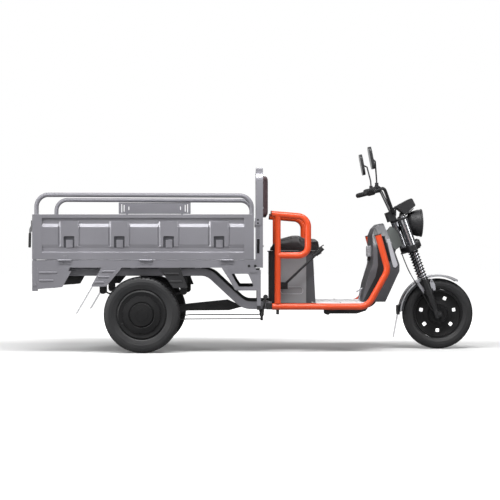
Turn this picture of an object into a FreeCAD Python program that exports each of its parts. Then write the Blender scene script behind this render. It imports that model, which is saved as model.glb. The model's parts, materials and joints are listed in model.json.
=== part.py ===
import FreeCAD, Part
import math
import os

# Electric cargo tricycle, in millimetres.
# +X points forward, +Y to the left, +Z up. The origin is on the ground, under the middle of the whole.

# Running gaps and seats
SEAT = 0.3
RUN = 0.06
CLEAR = 5.0

# Wheels
REAR_AXLE_X = -745.0
REAR_TYRE_R = 251.0
REAR_TYRE_W = 100.0
REAR_TRACK_Y = 430.0
REAR_TYRE_H = 89.0
REAR_RIM_R = REAR_TYRE_R - REAR_TYRE_H
REAR_COVER_R = REAR_RIM_R * 0.79
REAR_CAP_R = REAR_COVER_R * 0.617
REAR_DRUM_R = REAR_RIM_R * 0.57
COVER_NOTCHES = 8
REAR_SHAFT_R = 15.0
AXLE_PLATE_Y = REAR_TRACK_Y - 62.0
FRONT_AXLE_X = 1245.0
FRONT_TYRE_R = 241.0
FRONT_TYRE_W = 90.0
FRONT_RIM_R = 166.0
FRONT_HOLES = 7
FRONT_HOLE_RING_R = 114.5
FRONT_HOLE_SIZE = 24.0
FRONT_SHAFT_R = 8.0

# Cargo bed
BED_REAR_X = -1455.0
BED_FRONT_X = -12.0
BED_HALF_W = 500.0
GATE_T = 30.0
GATE_BOTTOM_Z = 613.0
GATE_TOP_Z = 907.0
GATE_BORDER_TOP = 23.0
GATE_POST_W = 64.0
GATE_FOOT_H = 45.0
SILL_BOTTOM_Z = 560.0
DECK_T = 3.0
TAILGATE_T = 28.0
HINGE_OUT = 8.0
HINGE_Z = 608.0
HINGE_R = 7.0
HINGE_PIN_R = 3.0
HINGE_L = 80.0
GATE_HINGES_X = (-1241.0, -714.0, -187.0)
TAIL_HINGES_Y = (-330.0, 330.0)
PAD_CENTRES_X = (-1215.0, -888.0, -567.0, -239.0)
PAD_W = 129.0
PAD_POCKET_W = 69.0
PAD_POCKET_H = 75.0
PAD_POCKET_Z0 = 690.0
PAD_TOP_Z = 860.0
PAD_GROOVE_W = 6.0

# Hoop rails on the side gates
HOOP_TUBE_R = 15.0
HOOP_RISE = 140.0
HOOP_TOP_Z = GATE_TOP_Z + HOOP_RISE
HOOP_BEND_R = 78.0
PLATE_X0 = -981.0
PLATE_X1 = -464.0
PLATE_Z1 = HOOP_TOP_Z - 31.0
PLATE_Z0 = PLATE_Z1 - 82.0

# Headboard behind the rider
BOARD_X0 = 1.5
BOARD_X1 = 47.0
BOARD_TOP_Z = 1218.0
BOARD_BEND_R = 110.0
BOARD_POST_W = 45.0
BACKREST_T = 33.0
BACKREST_Z0 = 895.0
BACKREST_Z1 = 1176.0
BACKREST_HALF_W = 230.0

# Ladder frame
RAIL_Y = REAR_TRACK_Y - 80.0
RAIL_W = 50.0
RAIL_DEPTH = 50.0
RAIL_REAR_X = BED_REAR_X + 55.0
RAIL_HIGH_Z = 529.5
RAIL_LOW_Z = 310.0
RAIL_DROP_X0 = -314.0
RAIL_DROP_X1 = -77.0
RAIL_FRONT_X = 107.0
RAIL_BEND_R = 120.0

# Floor, guards and seat
FLOOR_TUBE_Y = 410.0
FLOOR_TUBE_R = 21.0
FLOOR_TUBE_Z = 303.0
TUBE_KNEE = (868.0, -FLOOR_TUBE_Y, 541.0)
TUBE_TIP = (804.0, -FLOOR_TUBE_Y, 772.0)
GUARD_REAR_X = 104.0
GUARD_POST_X = 144.0
GUARD_FRONT_X = 343.0
GUARD_TOP_Z = 933.0
GUARD_FALL = 20.0
GUARD_LOW_Z = 639.0
FLOOR_Z = 320.3
FLOOR_T = 6.0
SEAT_BOX_X0 = 91.0
SEAT_BOX_X1 = 383.0
SEAT_BOX_HALF_W = 240.0
SEAT_BOX_TOP_Z = 662.0
SEAT_BOX_WALL = 12.0
SEAT_BOX_SEAMS_X = (132.0, 338.0)
SEAT_HINGE_X = 437.0
SEAT_HINGE_Z = 662.0

# Steering head: s runs up along the axis from the front axle, n points square to it, forward
CASTER_DEG = 19.6
LEG_Y = 95.0
LEG_SETBACK = 14.6
AXIS_SETBACK = 64.6
LOWER_YOKE_S = 462.0
UPPER_YOKE_S = 684.0
YOKE_T = 40.0
LEG_R = 25.0
LEG_COVER_R = 29.0
LIGHT_X = 1129.0
LIGHT_Z = 860.0
LIGHT_R = 95.5


def vec(x, y, z):
    return FreeCAD.Vector(x, y, z)


def box(x0, x1, y0, y1, z0, z1):
    return Part.makeBox(x1 - x0, y1 - y0, z1 - z0, vec(x0, y0, z0))


def rod(start, end, radius):
    a = vec(*start)
    b = vec(*end)
    return Part.makeCylinder(radius, (b - a).Length, a, b - a)


def cyl_y(x, z, radius, y0, y1):
    return Part.makeCylinder(radius, y1 - y0, vec(x, y0, z), vec(0, 1, 0))


def cyl_x(y, z, radius, x0, x1):
    return Part.makeCylinder(radius, x1 - x0, vec(x0, y, z), vec(1, 0, 0))


def fuse(shapes):
    shapes = list(shapes)
    if len(shapes) == 1:
        return shapes[0]
    return shapes[0].multiFuse(shapes[1:]).removeSplitter()


def group(shapes):
    return Part.makeCompound([s for shape in shapes for s in shape.Solids])


def mirrored(shape):
    return shape.mirror(vec(0, 0, 0), vec(0, 1, 0))


def both_sides(shape):
    return group([shape, mirrored(shape)])


def rounded_face(corners, place):
    """A flat face from corners (a, b, radius); place turns (a, b) into a point in space."""
    pts = [(c[0], c[1], c[2] if len(c) > 2 else 0.0) for c in corners]
    stops = []
    count = len(pts)
    for i, (a, b, radius) in enumerate(pts):
        here = vec(a, b, 0)
        if radius <= 0:
            stops.append((here, here, here))
            continue
        before = (vec(*pts[i - 1][:2], 0) - here).normalize()
        after = (vec(*pts[(i + 1) % count][:2], 0) - here).normalize()
        half = math.acos(max(-1, min(1, before.dot(after)))) / 2
        reach = radius / math.tan(half)
        centre = here + (before + after).normalize() * (radius / math.sin(half))
        middle = centre + (here - centre).normalize() * radius
        stops.append((here + before * reach, middle, here + after * reach))
    edges = []
    for i, (start, middle, end) in enumerate(stops):
        if (start - end).Length > 1e-6:
            edges.append(Part.Arc(place(start), place(middle), place(end)).toShape())
        following = stops[(i + 1) % count][0]
        if (following - end).Length > 1e-6:
            edges.append(Part.LineSegment(place(end), place(following)).toShape())
    return Part.Face(Part.Wire(edges))


def plate_xz(corners, y0, y1):
    face = rounded_face(corners, lambda p: vec(p.x, y0, p.y))
    return face.extrude(vec(0, y1 - y0, 0))


def plate_yz(corners, x0, x1):
    face = rounded_face(corners, lambda p: vec(x0, p.x, p.y))
    return face.extrude(vec(x1 - x0, 0, 0))


def plate_xy(corners, z0, z1):
    face = rounded_face(corners, lambda p: vec(p.x, p.y, z0))
    return face.extrude(vec(0, 0, z1 - z0))


def ribbon(points, bend_r, depth, y0, y1):
    """A bar of even depth along a path of (x, z) points with round bends, as wide as y0 to y1."""
    line = [vec(x, z, 0) for x, z in points]
    runs = [(line[i + 1] - line[i]).normalize() for i in range(len(line) - 1)]
    side_of = [vec(-d.y, d.x, 0) for d in runs]
    offsets = {}
    for sign in (1, -1):
        h = sign * depth / 2
        corners = [line[0] + side_of[0] * h]
        radii = [0.0]
        for i in range(1, len(line) - 1):
            turn = runs[i - 1].x * runs[i].y - runs[i - 1].y * runs[i].x
            mitre = (side_of[i - 1] + side_of[i]).normalize()
            corners.append(line[i] + mitre * (h / mitre.dot(side_of[i])))
            radii.append(bend_r - h if turn > 0 else bend_r + h)
        corners.append(line[-1] + side_of[-1] * h)
        radii.append(0.0)
        offsets[sign] = [(c.x, c.y, r) for c, r in zip(corners, radii)]
    return plate_xz(offsets[1] + offsets[-1][::-1], y0, y1)


def tube(points, radius, bends):
    """A round bar along points in space, with tangent bends; bends is one radius or one per corner."""
    line = [vec(*p) for p in points]
    corners = range(1, len(line) - 1)
    if not isinstance(bends, (list, tuple)):
        bends = [bends] * len(corners)
    parts = []
    start = line[0]
    for i, bend in zip(corners, bends):
        before = (line[i] - line[i - 1]).normalize()
        after = (line[i + 1] - line[i]).normalize()
        turn = before.getAngle(after)
        reach = bend * math.tan(turn / 2)
        arc_start = line[i] - before * reach
        arc_end = line[i] + after * reach
        parts.append(Part.makeCylinder(radius, (arc_start - start).Length, start, before))
        axis = before.cross(after).normalize()
        centre = arc_start + axis.cross(before) * bend
        disc = Part.Face(Part.Wire(Part.makeCircle(radius, arc_start, before)))
        parts.append(disc.revolve(centre, axis, math.degrees(turn)))
        start = arc_end
    last = line[-1] - start
    parts.append(Part.makeCylinder(radius, last.Length, start, last))
    return fuse(parts)


def widest_bends(points):
    """For each corner of a cord's route, the largest bend that its two runs allow."""
    line = [vec(*p) for p in points]
    bends = []
    for i in range(1, len(line) - 1):
        before = line[i] - line[i - 1]
        after = line[i + 1] - line[i]
        shorter = min(before.Length, after.Length)
        bends.append(0.45 * shorter / math.tan(before.getAngle(after) / 2))
    return bends


def turned_y(profile, x, z, angle=360.0):
    """A shape turned about a line along Y through (x, z); the profile is corners (radius, y, rounding)."""
    face = rounded_face(profile, lambda p: vec(x + p.x, p.y, z))
    return face.revolve(vec(x, 0, z), vec(0, 1, 0), angle)


# Steering frame of reference
def caster_up():
    lean = math.radians(CASTER_DEG)
    return vec(-math.sin(lean), 0, math.cos(lean))


def caster_ahead():
    lean = math.radians(CASTER_DEG)
    return vec(math.cos(lean), 0, math.sin(lean))


def head_point(s, n, y=0.0):
    p = vec(FRONT_AXLE_X, y, FRONT_TYRE_R) + caster_up() * s + caster_ahead() * n
    return (p.x, p.y, p.z)


def leg_point(s, y=-LEG_Y):
    return head_point(s, -LEG_SETBACK, y)


def axis_point(s):
    return head_point(s, -AXIS_SETBACK)


def leg_turned(profile, y=-LEG_Y):
    """A shape turned about a fork leg; the profile is corners (radius, s, rounding)."""
    up = caster_up()
    ahead = caster_ahead()
    foot = vec(*leg_point(0, y))
    face = rounded_face(profile, lambda p: foot + ahead * p.x + up * p.y)
    return face.revolve(foot, up, 360)


def head_slab(corners, s0, s1):
    """A plate square to the steering axis; corners are (n, y, rounding)."""
    up = caster_up()
    ahead = caster_ahead()
    base = vec(FRONT_AXLE_X, 0, FRONT_TYRE_R) + up * s0
    face = rounded_face(corners, lambda p: base + ahead * p.x + vec(0, p.y, 0))
    return face.extrude(up * (s1 - s0))


# Frame
def frame_rails():
    path = [(RAIL_REAR_X, RAIL_HIGH_Z), (RAIL_DROP_X0, RAIL_HIGH_Z),
            (RAIL_DROP_X1, RAIL_LOW_Z), (RAIL_FRONT_X, RAIL_LOW_Z)]
    rail = ribbon(path, RAIL_BEND_R, RAIL_DEPTH, -RAIL_Y - RAIL_W / 2, -RAIL_Y + RAIL_W / 2)
    return both_sides(rail)


SPRING_Y = RAIL_Y - 50.0
SPRING_W = 50.0
SPRING_REAR_EYE = (-1012.0, 406.0)
SPRING_FRONT_EYE = (-478.0, 400.0)
HIGH_MEMBER_D = 44.0
FRONT_CROSS_X0 = 70.0
FLOOR_CROSS_W = 28.0
FLOOR_CROSS_X = (135.0, 355.0, 520.0, 700.0)


def cross_members():
    inner = RAIL_Y - RAIL_W / 2
    outer = RAIL_Y + RAIL_W / 2
    half = RAIL_DEPTH / 2
    solids = []
    for x in (SPRING_REAR_EYE[0], SPRING_FRONT_EYE[0], RAIL_REAR_X + half):
        solids.append(box(x - HIGH_MEMBER_D / 2, x + HIGH_MEMBER_D / 2, -inner, inner,
                          RAIL_HIGH_Z - half, RAIL_HIGH_Z + half - 6))
    low0 = RAIL_LOW_Z - half
    low1 = RAIL_LOW_Z + half
    solids.append(box(FRONT_CROSS_X0, RAIL_FRONT_X, -inner, inner, low0, FLOOR_Z))
    for sign in (-1, 1):
        y0, y1 = sorted((sign * outer, sign * (FLOOR_TUBE_Y + FLOOR_TUBE_R)))
        solids.append(box(FRONT_CROSS_X0, RAIL_FRONT_X, y0, y1, low0, low1 - 8))
        y0, y1 = sorted((sign * outer, sign * BED_HALF_W))
        solids.append(box(8, 32, y0, y1, low0, low0 + 26))
    reach = FLOOR_TUBE_Y - FLOOR_TUBE_R - SEAT
    for x in FLOOR_CROSS_X:
        half = box(x - FLOOR_CROSS_W / 2, x + FLOOR_CROSS_W / 2, SPINE_W / 2 + SEAT, reach, low0, FLOOR_Z)
        solids.append(both_sides(half))
    return group(solids)


SPINE_W = 50.0
SPINE_D = 36.0
SPINE_Z = 297.0
SKID_HALF_W = 70.0
NECK_HALF_W = 27.5
HEAD_TUBE_R = 28.0
HEAD_BORE_R = 15.0
HEAD_S0 = LOWER_YOKE_S + YOKE_T + 1.0
HEAD_S1 = UPPER_YOKE_S - 1.0


def spine_path():
    neck = head_point(600.0, -AXIS_SETBACK - 10.0)
    return [(RAIL_FRONT_X + SEAT, SPINE_Z), (795.0, SPINE_Z), (905.0, 560.0), (neck[0], neck[2])]


def head_tube():
    up = caster_up()
    low = vec(*axis_point(HEAD_S0))
    outer = Part.makeCylinder(HEAD_TUBE_R, HEAD_S1 - HEAD_S0, low, up)
    bore = Part.makeCylinder(HEAD_BORE_R + RUN, HEAD_S1 - HEAD_S0 + 2, low - up, up)
    return outer, bore


def front_frame():
    spine = ribbon(spine_path(), 70, SPINE_D, -SPINE_W / 2, SPINE_W / 2)
    outer, bore = head_tube()
    gusset = plate_xz([(905, 780), (938, 822), (975, 800), (1003, 708), (948, 672), (925, 690)],
                      -NECK_HALF_W, NECK_HALF_W)
    whole = fuse([spine, outer, gusset]).cut(bore)
    foot = box(RAIL_FRONT_X + SEAT, RAIL_FRONT_X + 9, -SPINE_W / 2, SPINE_W / 2, SPINE_Z, FLOOR_Z)
    under = SPINE_Z - SPINE_D / 2 + 2
    skid = plate_xz([(470, under), (470, 240, 8), (496, 232, 8), (505, 242, 6), (690, 242, 30),
                     (750, 262, 12),
                     (765, under)], -SKID_HALF_W, SKID_HALF_W)
    return fuse([whole, foot, skid])


def neck_covers():
    """Thin covers on both sides of the neck behind the fork."""
    cover = plate_xz([(898, 806, 6), (925, 838, 6), (966, 812, 6), (1003, 708, 8), (958, 676, 10),
                      (928, 704, 6)],
                     -NECK_HALF_W - 4, -NECK_HALF_W - SEAT)
    return both_sides(cover)


def rear_axle():
    z = REAR_TYRE_R
    x = REAR_AXLE_X
    housing = cyl_y(x, z, 30, -AXLE_PLATE_Y, AXLE_PLATE_Y)
    case = turned_y([(0, -75), (60, -75), (82, -52), (82, 52), (60, 75), (0, 75)], x, z)
    parts = [housing, case]
    for sign in (-1, 1):
        y0, y1 = sorted((sign * AXLE_PLATE_Y, sign * (AXLE_PLATE_Y + 6)))
        parts.append(cyl_y(x, z, REAR_DRUM_R + 10, y0, y1))
        y0, y1 = sorted((sign * (AXLE_PLATE_Y - 12), sign * (REAR_TRACK_Y + 34)))
        parts.append(cyl_y(x, z, REAR_SHAFT_R, y0, y1))
        y0, y1 = sorted((sign * (SPRING_Y - 30), sign * (SPRING_Y + 30)))
        parts.append(box(x - 45, x + 45, y0, y1, z + 14, z + 34))
    arm = plate_xz([(x + 40, z - 20, 0), (-460, 262, 12), (-180, 264, 12), (-100, 286, 40),
                    (62, 292, 0), (62, 304, 0), (-120, 304, 40), (-190, 336, 15), (-445, 310, 15),
                    (x + 40, z + 26, 0)], -45, 45)
    parts.append(arm)
    parts.append(box(50, FRONT_CROSS_X0 - SEAT, -45, 45, 286, 330))
    return fuse(parts)


MOTOR_R = 82.0


def drive_motor():
    x = REAR_AXLE_X
    y0 = 75 + SEAT
    y1 = SPRING_Y - 75
    body = turned_y([(0, y0), (MOTOR_R - 8, y0), (MOTOR_R, y0 + 8), (MOTOR_R, y1 - 12),
                     (MOTOR_R - 12, y1), (0, y1)],
                    x, REAR_TYRE_R)
    bore = cyl_y(x, REAR_TYRE_R, 30 + SEAT, y0 - 1, y1 + 1)
    return body.cut(bore)


def leaf_springs():
    x = REAR_AXLE_X
    seat_z = REAR_TYRE_R + 34 + SEAT
    leaf_t = 7.0
    y0 = -SPRING_Y - SPRING_W / 2
    y1 = -SPRING_Y + SPRING_W / 2
    parts = []
    reaches = (75, 125, 175, 225)
    sag = 0.00155
    for i, reach in enumerate(reaches):
        z0 = seat_z + i * leaf_t
        tip = z0 + sag * reach * reach
        low = Part.Arc(vec(x - reach, y0, tip), vec(x, y0, z0), vec(x + reach, y0, tip)).toShape()
        high = Part.Arc(vec(x + reach, y0, tip + leaf_t), vec(x, y0, z0 + leaf_t),
                        vec(x - reach, y0, tip + leaf_t)).toShape()
        ends = [Part.LineSegment(vec(x + reach, y0, tip), vec(x + reach, y0, tip + leaf_t)).toShape(),
                Part.LineSegment(vec(x - reach, y0, tip + leaf_t), vec(x - reach, y0, tip)).toShape()]
        face = Part.Face(Part.Wire([low, ends[0], high, ends[1]]))
        parts.append(face.extrude(vec(0, SPRING_W, 0)))
    top_z = seat_z + len(reaches) * leaf_t
    for eye in (SPRING_REAR_EYE, SPRING_FRONT_EYE):
        sign = -1 if eye[0] < x else 1
        corners = [(x, top_z - leaf_t / 2 + 3), (x + sign * 130, top_z + 22), (eye[0], eye[1])]
        parts.append(ribbon(corners, 200, leaf_t, y0, y1))
        parts.append(cyl_y(eye[0], eye[1], 18, y0, y1))
        parts.append(cyl_y(eye[0], eye[1], 8, y0 - 12, y1 + 12))
        for cheek in (y0 - 7, y1 + 1):
            parts.append(plate_xz([(eye[0] - 22, eye[1] - 22, 20), (eye[0] + 22, eye[1] - 22, 20),
                                   (eye[0] + 22, RAIL_HIGH_Z - RAIL_DEPTH / 2),
                                   (eye[0] - 22, RAIL_HIGH_Z - RAIL_DEPTH / 2)], cheek, cheek + 6))
    for dx in (-34, 34):
        clamp = box(x + dx - 7, x + dx + 7, y0 - 9, y1 + 9, top_z + 3, top_z + 12)
        parts.append(clamp)
        for y in (y0 - 5, y1 + 5):
            parts.append(rod((x + dx, y, seat_z), (x + dx, y, top_z + 20), 5))
    return both_sides(fuse(parts))


RELAY_X = 40.0
RELAY_Z = 250.0


def brake_linkage():
    """Relay shaft under the rails, with its knob, and a pull rod to each rear brake."""
    low = RAIL_LOW_Z - RAIL_DEPTH / 2
    hanger_y = RAIL_Y - 12
    rod_y = RAIL_Y - 28
    z_end = REAR_TYRE_R - 62
    parts = [cyl_y(RELAY_X, RELAY_Z, 8, -hanger_y - 8, hanger_y + 8)]
    for sign in (-1, 1):
        y0, y1 = sorted((sign * hanger_y, sign * (hanger_y + 8)))
        parts.append(plate_xz([(RELAY_X - 14, RELAY_Z - 14, 12), (RELAY_X + 14, RELAY_Z - 14, 12),
                               (RELAY_X + 16, low - SEAT), (RELAY_X - 16, low - SEAT)], y0, y1))
        y = sign * rod_y
        parts.append(rod((RELAY_X, y, RELAY_Z - 30), (-460, y, 218), 4))
        parts.append(rod((-460, y, 218), (REAR_AXLE_X + 30, y, z_end), 4))
        parts.append(box(RELAY_X - 9, RELAY_X + 9, y - 5, y + 5, RELAY_Z - 42, RELAY_Z + 6))
        y0, y1 = sorted((sign * (rod_y - 5), sign * (AXLE_PLATE_Y - SEAT)))
        parts.append(box(REAR_AXLE_X + 8, REAR_AXLE_X + 34, y0, y1, z_end - 8, z_end + 8))
    knob_y = -RAIL_Y - RAIL_W / 2 - 14
    parts.append(cyl_y(RELAY_X, RELAY_Z, 8, knob_y - 6, -340))
    parts.append(rod((RELAY_X, knob_y, RELAY_Z), (65, knob_y, 352), 6))
    parts.append(cyl_y(65, 366, 16, knob_y - 8, knob_y + 8))
    return group([fuse(parts)])


# Cargo bed
SILL_W = 40.0
SILL_TOP_Z = 608.0


def hinge_leaves(fixed, centre, along_x):
    """One side of a drop hinge on a bed edge, at the right side gate or the tailgate.

    fixed gives the outer knuckles with the pin, otherwise the middle knuckle with its bore.
    """
    third = HINGE_L / 3
    if fixed:
        spans = [(-HINGE_L / 2, -third / 2 - SEAT), (third / 2 + SEAT, HINGE_L / 2)]
    else:
        spans = [(-third / 2 + SEAT, third / 2 - SEAT)]
    out = BED_HALF_W + HINGE_OUT if along_x else -BED_REAR_X + HINGE_OUT
    face = BED_HALF_W if along_x else -BED_REAR_X
    parts = []
    for a0, a1 in spans:
        if along_x:
            knuckle = cyl_x(-out, HINGE_Z, HINGE_R, centre + a0, centre + a1)
        else:
            knuckle = cyl_y(-out, HINGE_Z, HINGE_R, centre + a0, centre + a1)
        z0, z1 = (HINGE_Z - 26, HINGE_Z) if fixed else (HINGE_Z + 1, HINGE_Z + 30)
        if along_x:
            leaf = box(centre + a0, centre + a1, -face - 4, -face, z0, z1)
        else:
            leaf = box(-face - 4, -face, centre + a0, centre + a1, z0, z1)
        parts += [knuckle, leaf]
    if fixed:
        ends = (centre - HINGE_L / 2, centre + HINGE_L / 2)
        parts.append(cyl_x(-out, HINGE_Z, HINGE_PIN_R, *ends) if along_x
                     else cyl_y(-out, HINGE_Z, HINGE_PIN_R, *ends))
        return fuse(parts)
    ends = (centre - HINGE_L, centre + HINGE_L)
    bore = (cyl_x(-out, HINGE_Z, HINGE_PIN_R + RUN, *ends) if along_x
            else cyl_y(-out, HINGE_Z, HINGE_PIN_R + RUN, *ends))
    return fuse(parts).cut(bore)


def bed_floor():
    outer = BED_HALF_W
    x0 = BED_REAR_X
    x1 = 0.0
    inner = outer - SILL_W
    frame = box(x0, x1, -outer, outer, SILL_BOTTOM_Z, SILL_TOP_Z)
    frame = frame.cut(box(x0 + SILL_W, x1 - SILL_W, -inner, inner, SILL_BOTTOM_Z - 1, SILL_TOP_Z - DECK_T))
    parts = [frame]
    rail_top = RAIL_HIGH_Z + RAIL_DEPTH / 2
    for x in (-1240, -1010, -800, -590, -380, -190):
        parts.append(box(x - 18, x + 18, -inner, inner, rail_top + SEAT, SILL_TOP_Z - DECK_T))
    for x in GATE_HINGES_X:
        leaf = hinge_leaves(True, x, True)
        parts += [leaf, mirrored(leaf)]
    for y in TAIL_HINGES_Y:
        parts.append(hinge_leaves(True, y, False))
    return fuse(parts)


def gate_section(face, depth):
    """The pressed panel of a gate, from foot to top, as corners (outward, z)."""
    back = face - depth
    return [(face - 4, GATE_BOTTOM_Z + 20), (face - 4, 660), (face - 9, 664), (face - 9, 688),
            (face - 1.5, 711), (face - 1.5, 824), (face - 11, 846), (face - 11, GATE_TOP_Z - 5),
            (back, GATE_TOP_Z - 5), (back, GATE_BOTTOM_Z + 20)]


def side_gate():
    """The right side gate, closed."""
    face = BED_HALF_W
    inside = face - GATE_T
    outline = box(BED_REAR_X, BED_FRONT_X, -face, -inside, GATE_BOTTOM_Z, GATE_TOP_Z)
    window = box(BED_REAR_X + GATE_POST_W, BED_FRONT_X - GATE_POST_W, -face - 1, -inside + 1,
                 GATE_BOTTOM_Z + GATE_FOOT_H, GATE_TOP_Z - GATE_BORDER_TOP)
    section = gate_section(face, 20)
    sheet = plate_yz([(-out, z) for out, z in section], BED_REAR_X + GATE_POST_W, BED_FRONT_X - GATE_POST_W)
    parts = [outline.cut(window), sheet]
    low = PAD_POCKET_Z0 + 8
    high = PAD_TOP_Z
    for x in PAD_CENTRES_X:
        half = PAD_W / 2
        parts.append(plate_xy([(x - half, -inside - 12), (x - half, -face + 6), (x - half + 9, -face + 0.5),
                               (x + half - 9, -face + 0.5), (x + half, -face + 6), (x + half, -inside - 12)],
                              low, high))
    gate = fuse(parts)
    for x in PAD_CENTRES_X:
        half = PAD_POCKET_W / 2
        pocket = plate_xz([(x - half, PAD_POCKET_Z0, 5), (x + half, PAD_POCKET_Z0, 5),
                           (x + half, PAD_POCKET_Z0 + PAD_POCKET_H, 5),
                           (x - half, PAD_POCKET_Z0 + PAD_POCKET_H, 5)],
                          -face - 1, -face + 12)
        gate = gate.cut(pocket)
        for edge in (x - PAD_W / 2 - PAD_GROOVE_W, x + PAD_W / 2):
            gate = gate.cut(box(edge, edge + PAD_GROOVE_W, -face - 1, -face + 7, low, high))
    leaves = [hinge_leaves(False, x, True) for x in GATE_HINGES_X]
    return fuse([gate] + leaves)


def side_gates():
    gate = side_gate()
    return gate, mirrored(gate)


def tailgate():
    face = -BED_REAR_X
    half = BED_HALF_W - GATE_T - CLEAR
    parts = [box(-face, -face + TAILGATE_T, -half, half, GATE_BOTTOM_Z, GATE_TOP_Z)]
    parts[0] = parts[0].cut(box(-face - 1, -face + 12, -half + 40, half - 40,
                                GATE_BOTTOM_Z + 42, GATE_TOP_Z - GATE_BORDER_TOP - 8))
    for y in (-260.0, 0.0, 260.0):
        parts.append(plate_yz([(y - 80, 690, 8), (y + 80, 690, 8), (y + 80, 840, 8), (y - 80, 840, 8)],
                              -face + 1, -face + 13))
    return fuse(parts + [hinge_leaves(False, y, False) for y in TAIL_HINGES_Y])


LATCH_Y = BED_HALF_W - GATE_T - 25.0


def tailgate_latches():
    """Toggle catches with a grip that hangs down behind the tailgate, one each side."""
    x = BED_REAR_X
    catch = box(x - 14, x, -LATCH_Y - 15, -LATCH_Y + 15, 795, 868)
    arm = plate_xz([(x - 14, 838), (x - 26, 812, 6), (x - 26, 776), (x - 14, 786)],
                   -LATCH_Y - 8, -LATCH_Y + 8)
    grip = plate_xz([(x - 29, 786, 4), (x - 15, 786, 4), (x - 17, 690, 5), (x - 31, 692, 5)],
                    -LATCH_Y - 12, -LATCH_Y + 12)
    return both_sides(fuse([catch, arm, grip]))


def rail_hoop():
    """The right hoop rail, standing on its gate."""
    y = -(BED_HALF_W - GATE_T / 2)
    z = HOOP_TOP_Z - HOOP_TUBE_R
    x0 = BED_REAR_X + HOOP_TUBE_R + 12
    x1 = BED_FRONT_X - HOOP_TUBE_R
    return tube([(x0, y, GATE_TOP_Z), (x0, y, z + 3), (x1, y, z - 3), (x1, y, GATE_TOP_Z)],
                HOOP_TUBE_R - 0.5, HOOP_BEND_R)


def rail_plate():
    """A blank plate with slotted ends, held between the left hoop rail and its gate."""
    y0 = BED_HALF_W - GATE_T / 2
    plate = plate_xz([(PLATE_X0, PLATE_Z0, 4), (PLATE_X1, PLATE_Z0, 4),
                      (PLATE_X1, PLATE_Z1, 4), (PLATE_X0, PLATE_Z1, 4)], y0 - 1.5, y0 + 1.5)
    middle = (PLATE_Z0 + PLATE_Z1) / 2
    for end, step in ((PLATE_X0 + 22, 17), (PLATE_X1 - 22, -17)):
        for i in range(4):
            half = 30 - 6 * i
            x = end + i * step
            plate = plate.cut(box(x - 3, x + 3, y0 - 5, y0 + 5, middle - half, middle + half))
    parts = [plate]
    for x in (PLATE_X0 + 60, PLATE_X1 - 60):
        parts.append(box(x - 8, x + 8, y0 - 1.5, y0 + 1.5, GATE_TOP_Z, PLATE_Z1))
    return fuse(parts)


def headboard():
    half = BED_HALF_W
    w = BOARD_POST_W
    outer = [(-half, SILL_BOTTOM_Z), (half, SILL_BOTTOM_Z), (half, BOARD_TOP_Z, BOARD_BEND_R),
             (-half, BOARD_TOP_Z, BOARD_BEND_R)]
    inner = [(-half + w, SILL_BOTTOM_Z - 1), (half - w, SILL_BOTTOM_Z - 1),
             (half - w, BOARD_TOP_Z - w, BOARD_BEND_R - w), (-half + w, BOARD_TOP_Z - w, BOARD_BEND_R - w)]
    arch = plate_yz(outer, BOARD_X0, BOARD_X1).cut(plate_yz(inner, BOARD_X0 - 1, BOARD_X1 + 1))
    x0 = BOARD_X0 + 8
    x1 = BOARD_X1 - 10
    panel = box(x0, x1, -half + w, half - w, SILL_TOP_Z - 20, GATE_TOP_Z)
    centre = box(x0, BOARD_X1, -BACKREST_HALF_W - 10, BACKREST_HALF_W + 10, GATE_TOP_Z - 24, BOARD_TOP_Z - w)
    ledge = box(BOARD_X0, BOARD_X1 - 4, -half + w, half - w, GATE_TOP_Z - 24, GATE_TOP_Z)
    parts = [arch, panel, centre, ledge]
    for y in (-300, -100, 100, 300):
        parts.append(box(x1 - 1, x1 + 7, y - 40, y + 40, SILL_TOP_Z + 20, GATE_TOP_Z - 50))
    for sign in (-1, 1):
        y0, y1 = sorted((sign * (half - 1), sign * (half + 6)))
        parts.append(box(BED_FRONT_X + CLEAR + 1, 34, y0, y1, 838, 883))
    board = fuse(parts)
    for sign in (-1, 1):
        y0, y1 = sorted((sign * (half - 3), sign * (half + 1)))
        board = board.cut(plate_xz([(6, 652, 4), (25, 652, 4), (25, 747, 4), (6, 747, 4)], y0, y1))
    return board


def backrest():
    x0 = BOARD_X1 + SEAT
    w = BACKREST_HALF_W
    pad = plate_yz([(-w, BACKREST_Z0, 30), (w, BACKREST_Z0, 30), (w, BACKREST_Z1, 30),
                    (-w, BACKREST_Z1, 30)],
                   x0, BOARD_X1 + 2 + BACKREST_T)
    return pad


SKIRT_T = 4.0
FLAP_TOP = (-1070.0, 436.0)
FLAP_FOOT = (-1177.0, 256.0)


def skirt(corners, ribs, strip):
    """A bracket plate hung under the right sill, with a top flange, outward ribs and a slanted strip."""
    y0 = -BED_HALF_W
    plate = plate_xz(corners, y0, y0 + SKIRT_T)
    xs = [c[0] for c in corners if abs(c[1] - SILL_BOTTOM_Z) < 1]
    parts = [plate, box(min(xs), max(xs), y0, y0 + 36, SILL_BOTTOM_Z - 4, SILL_BOTTOM_Z)]
    for z, x0, x1 in ribs:
        parts.append(plate_yz([(y0 + 1, z - 9), (y0, z - 9), (y0 - 5, z - 3), (y0 - 5, z + 3),
                               (y0 + 1, z + 7)], x0, x1))
    if strip:
        parts.append(plate_xz(strip, y0 - 4, y0 + 1))
    return fuse(parts)


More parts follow.
